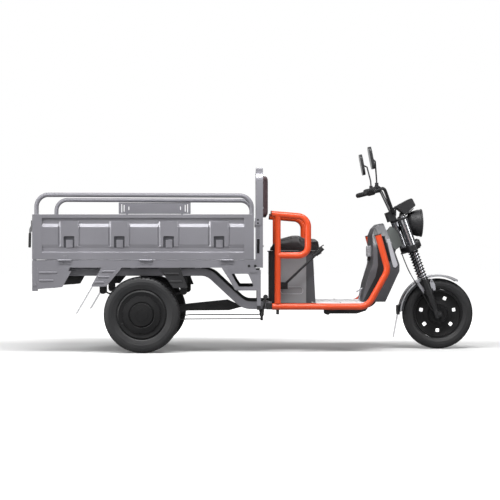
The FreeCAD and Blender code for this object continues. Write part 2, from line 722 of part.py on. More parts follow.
def bed_skirts():
    """Brackets under each sill: one behind the wheel's arch, one at the arch and one at the front."""
    z = SILL_BOTTOM_Z
    rear = skirt([(-1421.5, z), (-1209, z), (-1269, 432, 6), (-1421.5, 420)],
                 [(528, -1408, -1292), (476, -1408, -1318)],
                 [(-1256, 538, 8), (-1199, 538), (-1258, 434), (-1316, 427)])
    middle = skirt([(-1005, z), (-875, z), (-973, 436, 6), (-1073, 436, 6)],
                   [(536, -1002, -912), (500, -1026, -950), (464, -1050, -985)],
                   [(-905, 552), (-878, 552), (-970, 440), (-1000, 440)])
    front = plate_xz([(-222, z), (1, z), (1, 545), (33, 545, 0), (33, 312), (8, 312), (8, 411),
                      (-128, 411, 8)],
                     -BED_HALF_W, -BED_HALF_W + 24)
    front = front.cut(plate_xz([(-166, 520, 8), (-50, 520, 8), (-12, 436, 8), (-108, 436, 8)],
                               -BED_HALF_W - 1, -BED_HALF_W + 30))
    strut = plate_xz([(-214, 556), (-176, 556), (-102, 416), (-136, 416)], -BED_HALF_W - 4, -BED_HALF_W + 1)
    ledge = box(-40, 8, -BED_HALF_W - 4, -BED_HALF_W + 1, 528, 538)
    return group([both_sides(s) for s in (rear, middle, fuse([front, strut, ledge]))])


def arch_guards():
    """The dark bracket plates ahead of the wheels."""
    z = SILL_BOTTOM_Z
    return both_sides(skirt([(-630, z), (-495, z), (-441, 428, 6), (-538, 428, 6)],
                            [(520, -598, -500), (470, -564, -482)], None))


BEAM_DEPTH = 30.0
BEAM_X0 = RAIL_REAR_X - BEAM_DEPTH
BEAM_Z0 = 470.0
BEAM_Z1 = 545.0
BEAM_FOOT_W = 34.0
BEAM_FOOT_Z = 408.0
HITCH_HOLE_R = 7.0
HITCH_SPACING = 150.0


def rear_beam():
    """Channel across the tail with a foot at each end and two bolt holes."""
    half = BED_HALF_W
    inner = half - BEAM_FOOT_W
    parts = [box(BEAM_X0, BEAM_X0 + 6, -inner, inner, BEAM_Z0, BEAM_Z1)]
    for z in (BEAM_Z0, BEAM_Z1 - 6):
        parts.append(box(BEAM_X0, RAIL_REAR_X, -inner, inner, z, z + 6))
    for sign in (-1, 1):
        y0, y1 = sorted((sign * half, sign * inner))
        parts.append(box(BED_REAR_X, BEAM_X0 + 8, y0, y1, BEAM_FOOT_Z, SILL_BOTTOM_Z))
        y0, y1 = sorted((sign * (half - 1), sign * (half + 4)))
        parts.append(cyl_y(BEAM_X0 - 8, BEAM_FOOT_Z + 39, 10, y0, y1))
    beam = fuse(parts)
    for y in (-HITCH_SPACING / 2, HITCH_SPACING / 2):
        beam = beam.cut(cyl_x(y, (BEAM_Z0 + BEAM_Z1) / 2, HITCH_HOLE_R, BEAM_X0 - 1, BEAM_X0 + 7))
    return beam


def tail_lamps():
    x1 = BEAM_X0 - SEAT
    y0 = -BED_HALF_W + 80
    y1 = y0 + 95
    lamp = plate_yz([(y0, 480, 10), (y1, 480, 10), (y1, 535, 10), (y0, 535, 10)], x1 - 16, x1)
    return both_sides(lamp)


def mudflaps():
    """Pale flaps that hang behind the rear wheels from the arch brackets."""
    outer = -BED_HALF_W + SKIRT_T + SEAT
    inner = -BED_HALF_W + 128
    x, z = FLAP_TOP
    foot_x, foot_z = FLAP_FOOT
    flap = plate_xz([(x - 2, z + 4), (x + 2, z + 4), (foot_x + 2, foot_z), (foot_x - 2, foot_z)], outer,
                    inner)
    hanger = box(x - 2, x + 20, outer, inner, z, z + 8)
    return both_sides(fuse([flap, hanger]))


# Floor, guards and seat
def floor_tubes():
    y = -FLOOR_TUBE_Y
    path = [(RAIL_FRONT_X + SEAT, y, FLOOR_TUBE_Z), (735, y, FLOOR_TUBE_Z), TUBE_KNEE, TUBE_TIP]
    right = tube(path, FLOOR_TUBE_R, [95, 95])
    return both_sides(right)


def tube_caps():
    """Black end caps on the guards and floor tubes, and the stop under each guard post."""
    y = -FLOOR_TUBE_Y
    top = GUARD_TOP_Z - FLOOR_TUBE_R
    caps = []
    for end, before in (((GUARD_REAR_X, y, top), (GUARD_FRONT_X, y, top - GUARD_FALL)),
                        (TUBE_TIP, TUBE_KNEE)):
        away = (vec(*end) - vec(*before)).normalize()
        caps.append(Part.makeCylinder(FLOOR_TUBE_R, 7, vec(*end) + away * SEAT, away))
    low = FLOOR_TUBE_Z - FLOOR_TUBE_R - SEAT
    caps.append(Part.makeCylinder(10, 30, vec(GUARD_POST_X, y, low - 30), vec(0, 0, 1)))
    return group([both_sides(c) for c in caps])


def guard_hoops():
    y = -FLOOR_TUBE_Y
    r = FLOOR_TUBE_R
    top = GUARD_TOP_Z - r
    front = GUARD_FRONT_X
    hoop = tube([(GUARD_REAR_X, y, top), (front, y, top - GUARD_FALL), (front, y, GUARD_LOW_Z),
                 (GUARD_POST_X, y, GUARD_LOW_Z)],
                r, [70, 60])
    post = rod((GUARD_POST_X, y, FLOOR_TUBE_Z + r + SEAT), (GUARD_POST_X, y, top - 3), r - 1)
    stay = box(GUARD_POST_X - 10, GUARD_POST_X + 10, y + r - 4, -SEAT_BOX_HALF_W - SEAT, 560, 580)
    return both_sides(fuse([hoop, post, stay]))


def seat_box():
    x0 = SEAT_BOX_X0
    x1 = SEAT_BOX_X1
    w = SEAT_BOX_HALF_W
    t = SEAT_BOX_WALL
    z0 = FLOOR_Z + SEAT
    shell = plate_xz([(x0, z0, 6), (x1 + 18, z0, 10), (x1, SEAT_BOX_TOP_Z, 0), (x0, SEAT_BOX_TOP_Z, 0)],
                     -w, w)
    hollow = plate_xz([(x0 + t, z0 + t), (x1 - t + 17, z0 + t), (x1 - t, SEAT_BOX_TOP_Z + 1),
                       (x0 + t, SEAT_BOX_TOP_Z + 1)], -w + t, w - t)
    shell = shell.cut(hollow)
    for sign in (-1, 1):
        y0, y1 = sorted((sign * (w + 1), sign * (w - 5)))
        shell = shell.cut(plate_xz([(168, 382, 22), (316, 382, 22), (316, 428, 22), (168, 428, 22)], y0, y1))
        y0, y1 = sorted((sign * (w + 1), sign * (w - 2)))
        for x in SEAT_BOX_SEAMS_X:
            shell = shell.cut(box(x - 1.5, x + 1.5, y0, y1, z0 + 8, SEAT_BOX_TOP_Z - 6))
    ears = []
    for y in (-140.0, 140.0):
        ears.append(plate_xz([(x1 - 12, 620), (SEAT_HINGE_X + 8, SEAT_HINGE_Z - 12, 6),
                              (SEAT_HINGE_X + 8, SEAT_HINGE_Z + 6, 6), (x1 - 12, SEAT_HINGE_Z)],
                             y - 14, y - 6))
        ears.append(cyl_y(SEAT_HINGE_X, SEAT_HINGE_Z, 4, y - 14, y + 14))
    return fuse([shell] + ears)


def battery():
    z0 = FLOOR_Z + SEAT + SEAT_BOX_WALL + SEAT
    half = SEAT_BOX_HALF_W - SEAT_BOX_WALL - 18
    return box(SEAT_BOX_X0 + 25, SEAT_BOX_X1 - 25, -half, half, z0, 560)


PAN_T = 8.0


def seat_pan():
    """The rigid base under the cushion, with its hinge knuckles at the front."""
    z0 = SEAT_BOX_TOP_Z + SEAT
    w = SEAT_BOX_HALF_W + 12
    pan = plate_xy([(84, -w, 30), (400, -w, 60), (432, -w / 2, 60), (432, w / 2, 60), (400, w, 60),
                    (84, w, 30)],
                   z0, z0 + PAN_T)
    parts = [pan]
    for y in (-140.0, 140.0):
        parts.append(cyl_y(SEAT_HINGE_X, SEAT_HINGE_Z, 8, y - 4, y + 12))
        parts.append(box(405, SEAT_HINGE_X, y - 4, y + 12, z0, SEAT_HINGE_Z + 8))
    pan = fuse(parts)
    for y in (-140.0, 140.0):
        pan = pan.cut(cyl_y(SEAT_HINGE_X, SEAT_HINGE_Z, 4 + RUN, y - 5, y + 13))
        pan = pan.cut(box(SEAT_BOX_X1 - 20, SEAT_HINGE_X + 12, y - 15, y - 5, z0 - 20, z0 + PAN_T + 1))
    return pan


def seat():
    z0 = SEAT_BOX_TOP_Z + 2 * SEAT + PAN_T
    w = SEAT_BOX_HALF_W + 22
    side = plate_xz([(92, z0, 8), (428, z0, 10), (446, 712, 10), (446, 742, 14), (322, 745, 40),
                     (296, 766, 25),
                     (248, 766, 60), (165, 742, 60), (112, 718, 30), (94, 694, 12)], -w, w)
    plan = plate_xy([(84, -w, 60), (400, -w, 90), (448, -w / 2, 90), (448, w / 2, 90), (400, w, 90),
                     (84, w, 60)],
                    z0 - 5, 790)
    return side.common(plan)


def footboard():
    z0 = FLOOR_Z + SEAT
    reach = FLOOR_TUBE_Y - FLOOR_TUBE_R - 8
    x0 = SEAT_BOX_X1 + 18 + SEAT
    board = plate_xy([(x0, -reach, 8), (758, -reach, 30), (758, reach, 30), (x0, reach, 8)], z0,
                     z0 + FLOOR_T)
    return board


SHIELD_HALF_W = 250.0


def leg_shield():
    w = SHIELD_HALF_W
    z0 = FLOOR_Z + SEAT + FLOOR_T + SEAT
    side = plate_xz([(716, z0, 0), (742, 450, 90), (788, 589, 200), (784, 779, 30), (799, 820, 10),
                     (827, 850, 10), (862, 856, 10), (961, 578, 20), (961, 534, 20), (872, z0, 0)], -w, w)
    outline = plate_yz([(-190, z0 - 5, 20), (190, z0 - 5, 20), (w, 540, 120), (w, 700, 90), (150, 860, 40),
                        (-150, 860, 40), (-w, 700, 90), (-w, 540, 120)], 680, 1000)
    body = side.common(outline)
    tunnel = ribbon(spine_path(), 70, SPINE_D + 4, -SPINE_W / 2 - 2, SPINE_W / 2 + 2)
    body = body.cut(tunnel)
    return body


def shield_trim():
    """Pale accent strips along the front edges."""
    w = SHIELD_HALF_W
    return both_sides(plate_xz([(875, 748, 4), (893, 748, 4), (949, 574, 10), (935, 556, 6), (919, 562, 4),
                                (906, 606, 4)], -w - 7, -w - SEAT))


def shield_inserts():
    """Black inserts behind the accent strips."""
    w = SHIELD_HALF_W
    return both_sides(plate_xz([(836, 768, 4), (860, 768, 4), (902, 608, 4), (896, 600, 4), (878, 610, 4)],
                               -w - 6, -w - SEAT))


def brake_pedal():
    """The foot brake: a tilted pad on an arm that stands on the footboard."""
    z0 = FLOOR_Z + SEAT + FLOOR_T + SEAT
    foot = box(698, 712, -66, -34, z0, z0 + 16)
    arm = plate_xz([(701, z0 + 10), (710, z0 + 10), (724, 400), (716, 404)], -54, -46)
    pad = plate_xz([(686, 392, 2), (690, 387, 2), (728, 412, 2), (724, 418, 2)], -86, -16)
    return fuse([foot, arm, pad])


def hand_brake():
    y = -SEAT_BOX_HALF_W
    bracket = box(150, 214, y - 44, y - SEAT, 415, 460)
    pivot = cyl_y(182, 436, 12, y - 56, y - 40)
    lever = rod((182, y - 50, 436), (405, y - 50, 648), 8)
    grip = rod((400, y - 50, 643.3), (447, y - 50, 688), 14)
    return fuse([bracket, pivot, lever, grip])


# Wheels
def tyre(radius, width, rim_r, x):
    """A tyre with a rounded shoulder on each side, closed on its rim; centred on y = 0."""
    w = width / 2
    half = [(rim_r, w * 0.68), (radius * 0.84, w), (radius * 0.95, w * 0.88), (radius, w * 0.42)]
    return turned_y([(r, -y) for r, y in half] + half[::-1], x, radius)


def rear_hub(x):
    """Rim, drum and domed cover of a rear wheel, with the outside towards -y; centred on y = 0."""
    z = REAR_TYRE_R
    r = REAR_RIM_R - SEAT
    rim = turned_y([(r, -34), (r, 34), (r - 8, 34), (r - 12, 14), (r - 12, -8), (r - 26, -30),
                    (REAR_DRUM_R, -30),
                    (REAR_DRUM_R, 50), (30, 50), (30, -36), (r - 28, -36), (r - 10, -40)], x, z)
    cover = turned_y([(22, -30), (REAR_COVER_R, -30), (REAR_COVER_R - 5, -43), (REAR_CAP_R + 8, -50),
                      (REAR_CAP_R, -46), (REAR_CAP_R - 7, -55), (22, -59)], x, z)
    for i in range(COVER_NOTCHES):
        notch = box(x - 17, x + 17, -50, -33, z + REAR_COVER_R - 9, z + REAR_COVER_R + 4)
        notch.rotate(vec(x, 0, z), vec(0, 1, 0), i * 360 / COVER_NOTCHES)
        cover = cover.cut(notch)
    hub = cyl_y(x, z, 32, -42, 50)
    cap = cyl_y(x, z, REAR_CAP_R / 2, -60, -37)
    bore = cyl_y(x, z, REAR_SHAFT_R + RUN, -35.5, 60)
    return fuse([rim, cover, hub, cap]).cut(bore)


def placed_rear(shape):
    """The same wheel on the right and, mirrored, on the left."""
    right = shape.copy()
    right.translate(vec(0, -REAR_TRACK_Y, 0))
    return right, mirrored(right)


def front_rim():
    z = FRONT_TYRE_R
    r = FRONT_RIM_R - SEAT
    x = FRONT_AXLE_X
    rim = turned_y([(r, -32), (r, 32), (r - 10, 32), (r - 14, 10), (r - 30, 4), (96, -4), (96, 30), (24, 30),
                    (24, -34), (64, -34), (70, -18), (96, -12), (r - 32, -6), (r - 14, -12),
                    (r - 10, -32)], x, z)
    hub = cyl_y(x, z, 26, -52, 52)
    wheel = fuse([rim, hub])
    half = FRONT_HOLE_SIZE / 2
    for i in range(FRONT_HOLES):
        hole = plate_xz([(x - half, z + FRONT_HOLE_RING_R - half, 5),
                         (x + half, z + FRONT_HOLE_RING_R - half, 5),
                         (x + half, z + FRONT_HOLE_RING_R + half, 5), (x - half,
                                                                       z + FRONT_HOLE_RING_R + half, 5)],
                        -40, 25)
        hole.rotate(vec(x, 0, z), vec(0, 1, 0), 180 + i * 360 / FRONT_HOLES)
        wheel = wheel.cut(hole)
    return wheel.cut(cyl_y(x, z, FRONT_SHAFT_R + RUN, -60, 60))


# Steering
CABLE_R = 3.5
CABLE_GUIDE_S = 4.0
CABLE_GUIDE_N = 98.0
CABLE_GUIDE_Y = 70.0


def fork_crown():
    """Stem in the head tube with the lower and upper yokes."""
    front = -LEG_SETBACK
    rear = -AXIS_SETBACK
    arms = [(rear - 26, -34, 12), (front - 34, -LEG_Y - 30, 22), (front + 30, -LEG_Y - 30, 22),
            (front + 30, LEG_Y + 30, 22), (front - 34, LEG_Y + 30, 22), (rear - 26, 34, 12)]
    lower = head_slab(arms, LOWER_YOKE_S, LOWER_YOKE_S + YOKE_T)
    upper = head_slab(arms, UPPER_YOKE_S, UPPER_YOKE_S + 16)
    up = caster_up()
    stem = Part.makeCylinder(HEAD_BORE_R, UPPER_YOKE_S - LOWER_YOKE_S, vec(*axis_point(LOWER_YOKE_S + 5)),
                             up)
    n = -CABLE_GUIDE_N
    y = -CABLE_GUIDE_Y
    guide_s = LOWER_YOKE_S + CABLE_GUIDE_S
    guide = head_slab([(n - 8, y - 8, 5), (n - 8, y + 8, 5), (rear, y + 8, 0), (rear, y - 8, 0)], guide_s,
                      guide_s + 8)
    whole = fuse([lower, upper, stem, guide])
    for y in (-LEG_Y, LEG_Y):
        for s0, s1 in ((LOWER_YOKE_S - 1, LOWER_YOKE_S + YOKE_T + 1), (UPPER_YOKE_S - 1, UPPER_YOKE_S + 17)):
            foot = vec(*leg_point(s0, y))
            whole = whole.cut(Part.makeCylinder(17 + SEAT, s1 - s0, foot, up))
    return whole


SPRING_S0 = 256.0
SPRING_S1 = LOWER_YOKE_S - 2.0


def fork_leg():
    """Right fork leg: lower leg, stanchion, cover, and the axle end."""
    up = caster_up()
    cover_s0 = LOWER_YOKE_S + YOKE_T + SEAT
    stanchion = Part.makeCylinder(17, UPPER_YOKE_S + 22 - 200, vec(*leg_point(200)), up)
    lower = leg_turned([(0, -22), (16, -22), (17, 40), (LEG_R, 96), (LEG_R, SPRING_S0 - 1),
                        (0, SPRING_S0 - 1)])
    cover = leg_turned([(0, cover_s0), (LEG_COVER_R, cover_s0), (LEG_COVER_R, UPPER_YOKE_S - SEAT),
                        (0, UPPER_YOKE_S - SEAT)])
    lug_centre = vec(FRONT_AXLE_X, 0, FRONT_TYRE_R)
    lug = cyl_y(lug_centre.x, lug_centre.z, 20, -LEG_Y - 12, -LEG_Y + 14)
    spacer = cyl_y(lug_centre.x, lug_centre.z, 14, -LEG_Y + 10, -54)
    axle = cyl_y(lug_centre.x, lug_centre.z, FRONT_SHAFT_R, -LEG_Y - 26, 0)
    return fuse([stanchion, lower, cover, lug, spacer, axle])


def fork_legs():
    right = fork_leg()
    return fuse([right, mirrored(right)])


def fork_springs():
    """Spring coils round each stanchion, as a stack of round turns on a thin sleeve."""
    turns = 10
    pitch = (SPRING_S1 - SPRING_S0) / turns
    profile = [(17 + SEAT, SPRING_S0), (21, SPRING_S0)]
    for i in range(turns):
        s = SPRING_S0 + i * pitch
        profile += [(21, s + pitch * 0.18), (25.8, s + pitch * 0.5), (21, s + pitch * 0.82)]
    profile += [(21, SPRING_S1), (17 + SEAT, SPRING_S1)]
    right = leg_turned(profile)
    return both_sides(right)


FENDER_R = 264.0
FENDER_HALF_W = 62.0
FENDER_STAY_S = 165.0


def front_fender():
    """The fender over the front wheel, with the bracket for its flap."""
    x = FRONT_AXLE_X
    z = FRONT_TYRE_R
    r = FENDER_R
    w = FENDER_HALF_W
    shell = turned_y([(r - 3, -w), (r - 12, -w), (r - 12, -w + 3), (r, -w + 12, 10), (r, w - 12, 10),
                      (r - 12, w - 3),
                      (r - 12, w), (r - 3, w), (r + 4, w - 12, 12), (r + 4, -w + 12, 12)], x, z)
    reach = 400.0
    front = math.radians(59)
    rear = math.radians(177)
    steps = [front + (rear - front) * i / 4 for i in range(5)]
    wedge = [(x, z)] + [(x + reach * math.cos(a), z + reach * math.sin(a)) for a in steps]
    shell = shell.common(plate_xz(wedge, -100, 100))
    bracket = plate_xz([(966, 296, 4), (986, 302), (984, FLAP_BRACKET_Z), (968, FLAP_BRACKET_Z)], -46, 46)
    return fuse([shell, bracket])


FLAP_BRACKET_Z = 234.0


def front_flap():
    """The pale flap under the rear end of the front fender."""
    top = FLAP_BRACKET_Z - SEAT
    return plate_xz([(971, top), (975, top), (946, 79), (942, 79)], -52, 52)


def fender_stays():
    """A clamp on each lower leg with a forked plate down the side of the fender."""
    ring = leg_turned([(LEG_R + SEAT, FENDER_STAY_S - 14), (LEG_R + 7, FENDER_STAY_S - 14),
                       (LEG_R + 7, FENDER_STAY_S + 14), (LEG_R + SEAT, FENDER_STAY_S + 14)])
    outer = -FENDER_HALF_W - SEAT
    plate = plate_xz([(1147, 378, 4), (1226, 404, 4), (1222, 440), (1196, 486, 4), (1180, 430, 6),
                      (1140, 418, 6),
                      (1104, 466, 4), (1088, 452, 4)], outer - 3, outer)
    return both_sides(fuse([ring, plate]))


def horn():
    """The round horn on the front of the lower yoke."""
    ahead = caster_ahead()
    start = vec(*head_point(LOWER_YOKE_S + 34, -LEG_SETBACK + 30 + SEAT))
    body = Part.makeCylinder(34, 26, start, ahead)
    mouth = Part.makeCylinder(26, 12, start + ahead * 24, ahead)
    return fuse([body, mouth])


BAR_R = 11.0
GRIP_R = 16.0
GRIP_L = 120.0
CLAMP = (938.0, 925.0)
BAR_HALF = ((938.0, -60.0, 925.0), (868.0, -150.0, 1093.0), (724.0, -345.0, 1059.0))


MIRROR_Y = -228.0
MIRROR_PERCH_H = 27.0


def grip_start():
    a = vec(*BAR_HALF[1])
    b = vec(*BAR_HALF[2])
    return b - (b - a).normalize() * GRIP_L


def handlebar():
    start = grip_start()
    right = [(start.x, start.y, start.z), BAR_HALF[1], BAR_HALF[0]]
    left = [(x, -y, z) for x, y, z in right[::-1]]
    bar = tube(right + left, BAR_R, [45, 28, 28, 45])
    top = vec(*axis_point(UPPER_YOKE_S + 16 + SEAT))
    block_top = vec(CLAMP[0], 0, CLAMP[1])
    riser = Part.makeCylinder(20, (block_top - top).Length, top, caster_up())
    clamp = box(CLAMP[0] - 22, CLAMP[0] + 22, -48, 48, CLAMP[1] - 18, CLAMP[1] + 22)
    foot_s = UPPER_YOKE_S + 16 + SEAT
    shroud = head_slab([(-110, -50, 16), (-50, -50, 10), (-50, 50, 10), (-110, 50, 16)], foot_s, foot_s + 66)
    return fuse([bar, riser, clamp, shroud])


def hand_grips():
    start = grip_start()
    end = vec(*BAR_HALF[2])
    away = (end - start).normalize()
    seat_at = start + away * SEAT
    grip = Part.makeCylinder(GRIP_R, (end - seat_at).Length, seat_at, away)
    flange = Part.makeCylinder(GRIP_R + 5, 6, seat_at, away)
    return both_sides(fuse([grip, flange]))


def controls():
    """Switch housings on the bar with a brake lever in front of each grip."""
    a = vec(*BAR_HALF[1])
    b = vec(*BAR_HALF[2])
    away = (b - a).normalize()
    start = grip_start()
    housing = Part.makeCylinder(23, 46, start - away * 50, away)
    housing = housing.cut(Part.makeCylinder(BAR_R + SEAT, 60, start - away * 55, away))
    root = start - away * 30 + vec(26, 0, 4)
    lever = tube([(root.x, root.y, root.z), (root.x + 30, root.y - 24, root.z + 4),
                  (b.x + 62, b.y - 8, b.z + 6)], 6, 22)
    boss = box(root.x - 16, root.x + 6, root.y - 12, root.y + 12, root.z - 9, root.z + 9)
    boss = boss.cut(Part.makeCylinder(BAR_R + SEAT, 60, start - away * 55, away))
    foot = mirror_foot()
    perch = box(foot.x - 13, foot.x + 13, foot.y - 13, foot.y + 13, foot.z - 20, foot.z)
    perch = perch.cut(Part.makeCylinder(BAR_R + SEAT, 60, start - away * 55, away))
    return both_sides(fuse([housing, boss, lever, perch]))


def mirror_foot():
    """The top of the perch that carries a mirror, above the bar."""
    a = vec(*BAR_HALF[1])
    b = vec(*BAR_HALF[2])
    share = (MIRROR_Y - a.y) / (b.y - a.y)
    return a + (b - a) * share + vec(0, 0, MIRROR_PERCH_H)


def mirrors():
    foot = mirror_foot() + vec(0, 0, SEAT)
    clamp = box(foot.x - 11, foot.x + 11, foot.y - 11, foot.y + 11, foot.z, foot.z + 18)
    stem = tube([(foot.x, foot.y, foot.z + 10), (foot.x - 2, foot.y - 2, foot.z + 50), (791, -333, 1262),
                 (766, -372, 1278)], 5, [30, 20])
    head = rounded_face([(-55, -74, 26), (55, -74, 40), (55, 74, 40), (-55, 74, 40)],
                        lambda p: vec(0, p.x, p.y))
    head = head.extrude(vec(20, 0, 0))
    head.rotate(vec(0, 0, 0), vec(0, 1, 0), -10.8)
    head.translate(vec(750, -385, 1279))
    return both_sides(fuse([clamp, stem, head]))


def headlight():
    """A bowl with its rim and lens, on two arms that end at the fork covers."""
    x = LIGHT_X
    z = LIGHT_Z
    r = LIGHT_R
    profile = [(x - 100, 0), (x - 98, r - 55), (x - 72, r - 20, 22), (x - 22, r - 4), (x - 4, r - 4),
               (x - 2, r),
               (x + 8, r), (x + 10, r - 7), (x + 15, r - 40), (x + 18, 0)]
    face = rounded_face(profile, lambda p: vec(p.x, 0, z + p.y))
    parts = [face.revolve(vec(x, 0, z), vec(1, 0, 0), 360)]
    leg = leg_point(640.0)
    for sign in (-1, 1):
        y0, y1 = sorted((sign * (LEG_Y - LEG_COVER_R - SEAT), sign * (LEG_Y - LEG_COVER_R - 12)))
        parts.append(box(leg[0] - 14, x - 54, y0, y1, leg[2] - 16, leg[2] + 12))
    return fuse(parts)


def instrument_pod():
    pod = plate_xz([(952, 971, 10), (1064, 1031, 14), (1090, 978, 10), (1017, 915, 10)], -72, 72)
    post = plate_xz([(950, CLAMP[1] + 22 + SEAT), (975, 950), (985, 975), (955, 975),
                     (925, CLAMP[1] + 22 + SEAT)],
                    -20, 20)
    return fuse([pod, post])


def brake_cable():
    """The front brake cable, from its guide on the lower yoke to the right fork leg's foot."""
    start_s = LOWER_YOKE_S + CABLE_GUIDE_S - SEAT
    route = [(start_s, -CABLE_GUIDE_N, -CABLE_GUIDE_Y), (400, -98, -70), (300, -88, -72), (200, -62, -76),
             (110, -46, -82), (40, -35.6, -92)]
    points = [head_point(*p) for p in route]
    bends = widest_bends(points)
    print("brake_cable bend radii", [round(b) for b in bends])
    return tube(points, CABLE_R, bends)


RIGHT_GATE, LEFT_GATE = side_gates()
RIGHT_TYRE, LEFT_TYRE = placed_rear(tyre(REAR_TYRE_R, REAR_TYRE_W, REAR_RIM_R, REAR_AXLE_X))
RIGHT_HUB, LEFT_HUB = placed_rear(rear_hub(REAR_AXLE_X))

PIECES = {
    "frame_rails": frame_rails(),
    "cross_members": cross_members(),
    "front_frame": front_frame(),
    "rear_axle": rear_axle(),
    "drive_motor": drive_motor(),
    "leaf_springs": leaf_springs(),
    "brake_linkage": brake_linkage(),
    "bed_floor": bed_floor(),
    "headboard": headboard(),
    "backrest": backrest(),
    "bed_skirts": bed_skirts(),
    "arch_guards": arch_guards(),
    "rear_beam": rear_beam(),
    "tail_lamps": tail_lamps(),
    "mudflaps": mudflaps(),
    "seat_box": seat_box(),
    "battery": battery(),
    "footboard": footboard(),
    "floor_tubes": floor_tubes(),
    "guard_hoops": guard_hoops(),
    "tube_caps": tube_caps(),
    "leg_shield": group([leg_shield(), shield_inserts(), neck_covers()]),
    "shield_trim": shield_trim(),
    "brake_pedal": brake_pedal(),
    "hand_brake": hand_brake(),
    "seat_pan": seat_pan(),
    "seat": seat(),
    "side_gate_right": RIGHT_GATE,
    "side_gate_left": LEFT_GATE,
    "rail_hoop_right": rail_hoop(),
    "rail_hoop_left": mirrored(rail_hoop()),
    "rail_plate": rail_plate(),
    "tailgate": tailgate(),
    "tailgate_latches": tailgate_latches(),
    "rear_tyre_right": RIGHT_TYRE,
    "rear_tyre_left": LEFT_TYRE,
    "rear_hub_right": RIGHT_HUB,
    "rear_hub_left": LEFT_HUB,
    "front_tyre": tyre(FRONT_TYRE_R, FRONT_TYRE_W, FRONT_RIM_R, FRONT_AXLE_X),
    "front_rim": front_rim(),
    "fork_crown": fork_crown(),
    "fork_legs": fork_legs(),
    "fork_springs": fork_springs(),
    "front_fender": group([front_fender(), fender_stays()]),
    "front_flap": front_flap(),
    "handlebar": handlebar(),
    "hand_grips": hand_grips(),
    "controls": controls(),
    "mirrors": mirrors(),
    "headlight": group([headlight(), horn()]),
    "instrument_pod": instrument_pod(),
    "brake_cable": brake_cable(),
}

os.makedirs("parts", exist_ok=True)
for name, shape in PIECES.items():
    shape.exportStep("parts/" + name + ".step")
    print(name, len(shape.Solids), round(shape.Volume / 1000), shape.isValid())
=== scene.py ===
import json
import math

import bmesh
import bpy
from mathutils import Matrix, Vector
from mathutils.bvhtree import BVHTree


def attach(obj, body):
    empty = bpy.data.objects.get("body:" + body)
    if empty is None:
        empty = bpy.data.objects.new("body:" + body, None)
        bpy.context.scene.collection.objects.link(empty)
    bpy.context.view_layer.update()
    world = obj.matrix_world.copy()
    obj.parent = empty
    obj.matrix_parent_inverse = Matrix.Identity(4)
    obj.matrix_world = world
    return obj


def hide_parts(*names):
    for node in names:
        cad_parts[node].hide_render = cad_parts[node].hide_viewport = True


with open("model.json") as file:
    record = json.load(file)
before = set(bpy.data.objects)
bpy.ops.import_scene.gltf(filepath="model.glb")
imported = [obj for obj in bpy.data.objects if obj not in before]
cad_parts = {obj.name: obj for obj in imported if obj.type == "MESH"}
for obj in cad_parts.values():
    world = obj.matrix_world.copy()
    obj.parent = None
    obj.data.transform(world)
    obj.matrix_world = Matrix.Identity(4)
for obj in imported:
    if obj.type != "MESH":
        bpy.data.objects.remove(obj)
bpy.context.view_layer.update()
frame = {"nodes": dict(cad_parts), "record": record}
MM = 0.001
SLOT_OF = {s["node"]: s["material_slot"] for s in frame["record"]["subparts"]}
BODY_OF = {n: b for b, nodes in frame["record"]["behaviour"]["bodies"].items() for n in nodes}

# Places and sizes in millimetres, as in the CAD
REAR_AXLE = (-745.0, 251.0)
REAR_TYRE_R = 251.0
REAR_TYRE_W = 100.0
REAR_RIM_R = 162.0
REAR_TRACK_Y = 430.0
FRONT_AXLE = (1245.0, 241.0)
FRONT_TYRE_R = 241.0
FRONT_TYRE_W = 90.0
FRONT_RIM_R = 166.0
BED_X = (-1455.0, -12.0)
BED_HALF_W = 500.0
GATE_TOP_Z = 907.0
DECK_Z = 608.0
PAD_CENTRES_X = (-1215.0, -888.0, -567.0, -239.0)
PAD_POCKET_Z0 = 690.0
SEAT_BOX_HALF_W = 240.0
FLOOR_TOP_Z = 326.6
LEG_Y = 95.0
LEG_SETBACK = 14.6
SPRING_S = (256.0, 460.0)
COVER_S0 = 502.0
LIGHT_X = 1129.0
CASTER = math.radians(19.6)
COIL_R = 21.5
COIL_WIRE_R = 4.1
COIL_TURNS = 11
FENDER_R = 265.0
GATE_HINGES_X = (-1241.0, -714.0, -187.0)
LAMP_SPLITS_Y = (355.0, 390.0)
BOX_SPLITS_X = (132.0, 338.0)
FORK_UP = Vector((-math.sin(CASTER), 0, math.cos(CASTER)))
FORK_AHEAD = Vector((math.cos(CASTER), 0, math.sin(CASTER)))


# Camera, the same view as the photo
def photo_camera():
    data = bpy.data.cameras.new("camera")
    data.sensor_width = 36.0
    data.lens = 104.06
    cam = bpy.data.objects.new("camera", data)
    cam.location = (-0.0375, -9.9, 0.675)
    cam.rotation_euler = (math.radians(90), 0, 0)
    bpy.context.scene.collection.objects.link(cam)
    bpy.context.scene.camera = cam


photo_camera()


# Shader building
def srgb(r, g, b):
    """A linear colour from screen values 0 to 255."""
    def linear(c):
        c = c / 255
        return c / 12.92 if c <= 0.04045 else ((c + 0.055) / 1.055) ** 2.4
    return (linear(r), linear(g), linear(b), 1.0)


